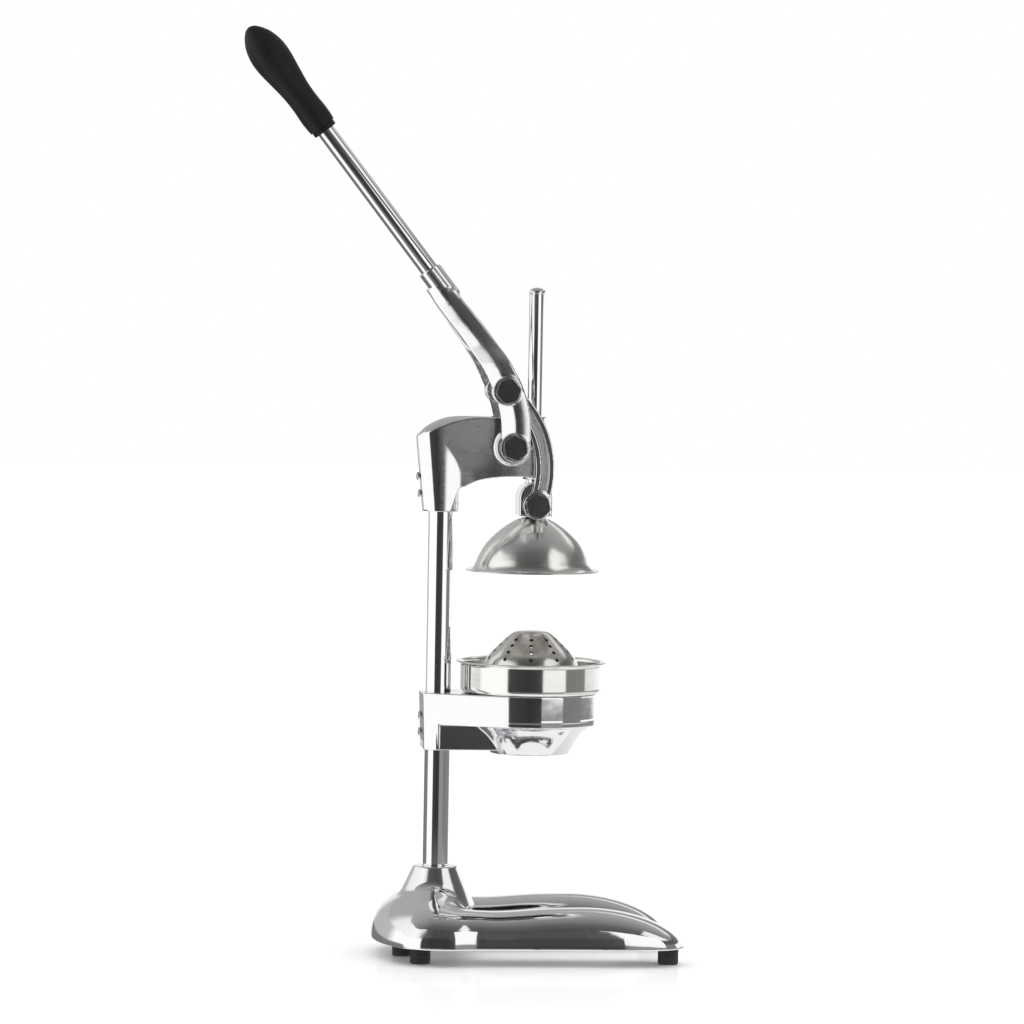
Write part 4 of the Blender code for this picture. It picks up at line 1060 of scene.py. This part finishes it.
TOP += [(42, 1.0), (80, 1.0), (90, 0.25), (118, 0.3), (135, 0.9), (165, 0.9), (180, 0.42)]
LEVELS = [(NEAR_FLOOR, None), (LOW, (-0.6, -0.35)), (MIDDLE, (-0.08, -0.06)), (HIGH, (0.7, 0.95))]
LEVELS += [(TOP, (1.75, 1.9))]


class Glow(Nodes):
    """An emission material built from colour ramps."""

    def __init__(self, name):
        super().__init__(name)
        self.use(self.add("ShaderNodeEmission"))

    def ramp(self, source, stops):
        """Brightness by position; the stops run from 0 to 1 and may be brighter than white."""
        node = self.add("ShaderNodeValToRGB", {"Fac": source})
        elements = node.color_ramp.elements
        elements.remove(elements[0])
        for number, (at, value) in enumerate(stops):
            stop = elements[0] if number == 0 else elements.new(at)
            stop.position = at
            stop.color = (value / 2, value / 2, value / 2, 1)
        return self.math("MULTIPLY", node.outputs["Color"], 2.0)

    def axes(self, kind):
        return self.add("ShaderNodeSeparateXYZ", {0: self.place.outputs[kind]}).outputs

    def fade(self, low, high, source, start, end):
        """From low to high as the source goes from start to end."""
        values = {"From_Min": start, "From_Max": end, "interpolation_type": "SMOOTHSTEP"}
        share = self.add("ShaderNodeMapRange", {"Value": source}, **values)
        step = self.math("MULTIPLY", self.math("SUBTRACT", high, low), share.outputs["Result"])
        return self.math("ADD", low, step)

    def finish(self, value):
        self.put("Strength", value)
        return self.material


def make_ring():
    """Reflector walls all round the set, painted by LEVELS."""
    radius, low, high, count = 2.6, -2.3, 2.5, 96
    points = []
    for i in range(count):
        angle = 2 * math.pi * i / count
        points += [(radius * math.cos(angle), radius * math.sin(angle), height) for height in (low, high)]
    last = 2 * count
    faces = [(i, i + 1, (i + 3) % last, (i + 2) % last) for i in range(0, last, 2)]
    glow = Glow("reflector")
    x, y, z = glow.axes("Object")
    angle = glow.math("ARCTAN2", x, glow.math("MULTIPLY", y, -1.0))
    turn = glow.math("SUBTRACT", angle, AZIMUTH)
    around = glow.math("FRACT", glow.math("ADD", glow.math("DIVIDE", turn, 2 * math.pi), 0.5))
    value = None
    for stops, heights in LEVELS:
        level = glow.ramp(around, [((degrees + 180) / 360, light) for degrees, light in stops])
        value = level if heights is None else glow.fade(value, level, z, *heights)
    ring = stand("reflector_ring", points, faces, glow.finish(value), False)
    ring.location = (TARGET.x, 0, 0)


def make_card(name, low, high, height, stops):
    """A level card over the set; stops give its brightness from the camera's side to the back."""
    (x0, y0), (x1, y1) = low, high
    corners = [(x0, y0, height), (x1, y0, height), (x1, y1, height), (x0, y1, height)]
    glow = Glow(name)
    material = glow.finish(glow.ramp(glow.axes("Generated")[1], stops))
    stand(name, corners, [(0, 1, 2, 3)], material, False)


def make_side_card():
    """A white card close by, at the front right, curved round the cup."""
    radius, start, stop, low, high, count = 1.0, 19.5, 57.5, -0.4, 0.85, 16
    points = []
    for degrees in np.linspace(start, stop, count + 1):
        turn = AZIMUTH + math.radians(degrees)
        x, y = RAM_AXIS[0] + radius * math.sin(turn), -radius * math.cos(turn)
        points += [(x, y, low), (x, y, high)]
    faces = [(2 * i, 2 * i + 1, 2 * i + 3, 2 * i + 2) for i in range(count)]
    glow = Glow("side_card")
    material = glow.finish(glow.fade(0.3, 1.12, glow.axes("Object")[2], 0.055, 0.08))
    stand("side_card", points, faces, material, False)


def make_cards():
    r, x, top = 2.7, TARGET.x, 2.5
    over = [(0.0, 0.08), (0.25, 0.13), (0.5, 0.28), (0.7, 0.38), (1.0, 0.42)]
    make_card("ceiling", (x - r, -r), (x + r, r), top, over)
    make_card("box_right", (x + 1.2, -2.0), (x + 2.6, -0.7), top - 0.05, [(0.0, 1.0), (1.0, 1.0)])
    make_side_card()


def make_floor():
    """A white floor, mostly matt, with a faint gloss that mirrors the feet."""
    size = 9.0
    n = Nodes("floor")
    matt = n.add("ShaderNodeBsdfDiffuse", Color=(0.93, 0.93, 0.93, 1))
    gloss = n.add("ShaderNodeBsdfGlossy", Roughness=0.09)
    n.use(n.add("ShaderNodeMixShader", {1: matt.outputs[0], 2: gloss.outputs[0]}, Fac=0.16))
    corners = [(-size, -size, 0.0), (size, -size, 0.0), (size, size, 0.0), (-size, size, 0.0)]
    stand("floor", corners, [(0, 1, 2, 3)], n.material, True)


def make_lights():
    scene = bpy.context.scene
    world = bpy.data.worlds.new("studio")
    world.use_nodes = True
    world.node_tree.nodes["Background"].inputs["Color"].default_value = (1, 1, 1, 1)
    world.node_tree.nodes["Background"].inputs["Strength"].default_value = 1.0
    scene.world = world
    sun = bpy.data.lights.new("fill", "SUN")
    sun.energy = 0.9
    sun.angle = math.radians(120)
    lamp = bpy.data.objects.new("fill", sun)
    lamp.visible_glossy = False
    scene.collection.objects.link(lamp)
    scene.view_settings.view_transform = "Standard"
    scene.view_settings.look = "None"


make_base()
make_column()
make_holder()
make_cup()
make_cone()
make_head()
make_lever()
make_links()
make_ram()
make_fasteners()
finish_kept_nodes()
make_camera()
make_ring()
make_cards()
make_floor()
make_lights()
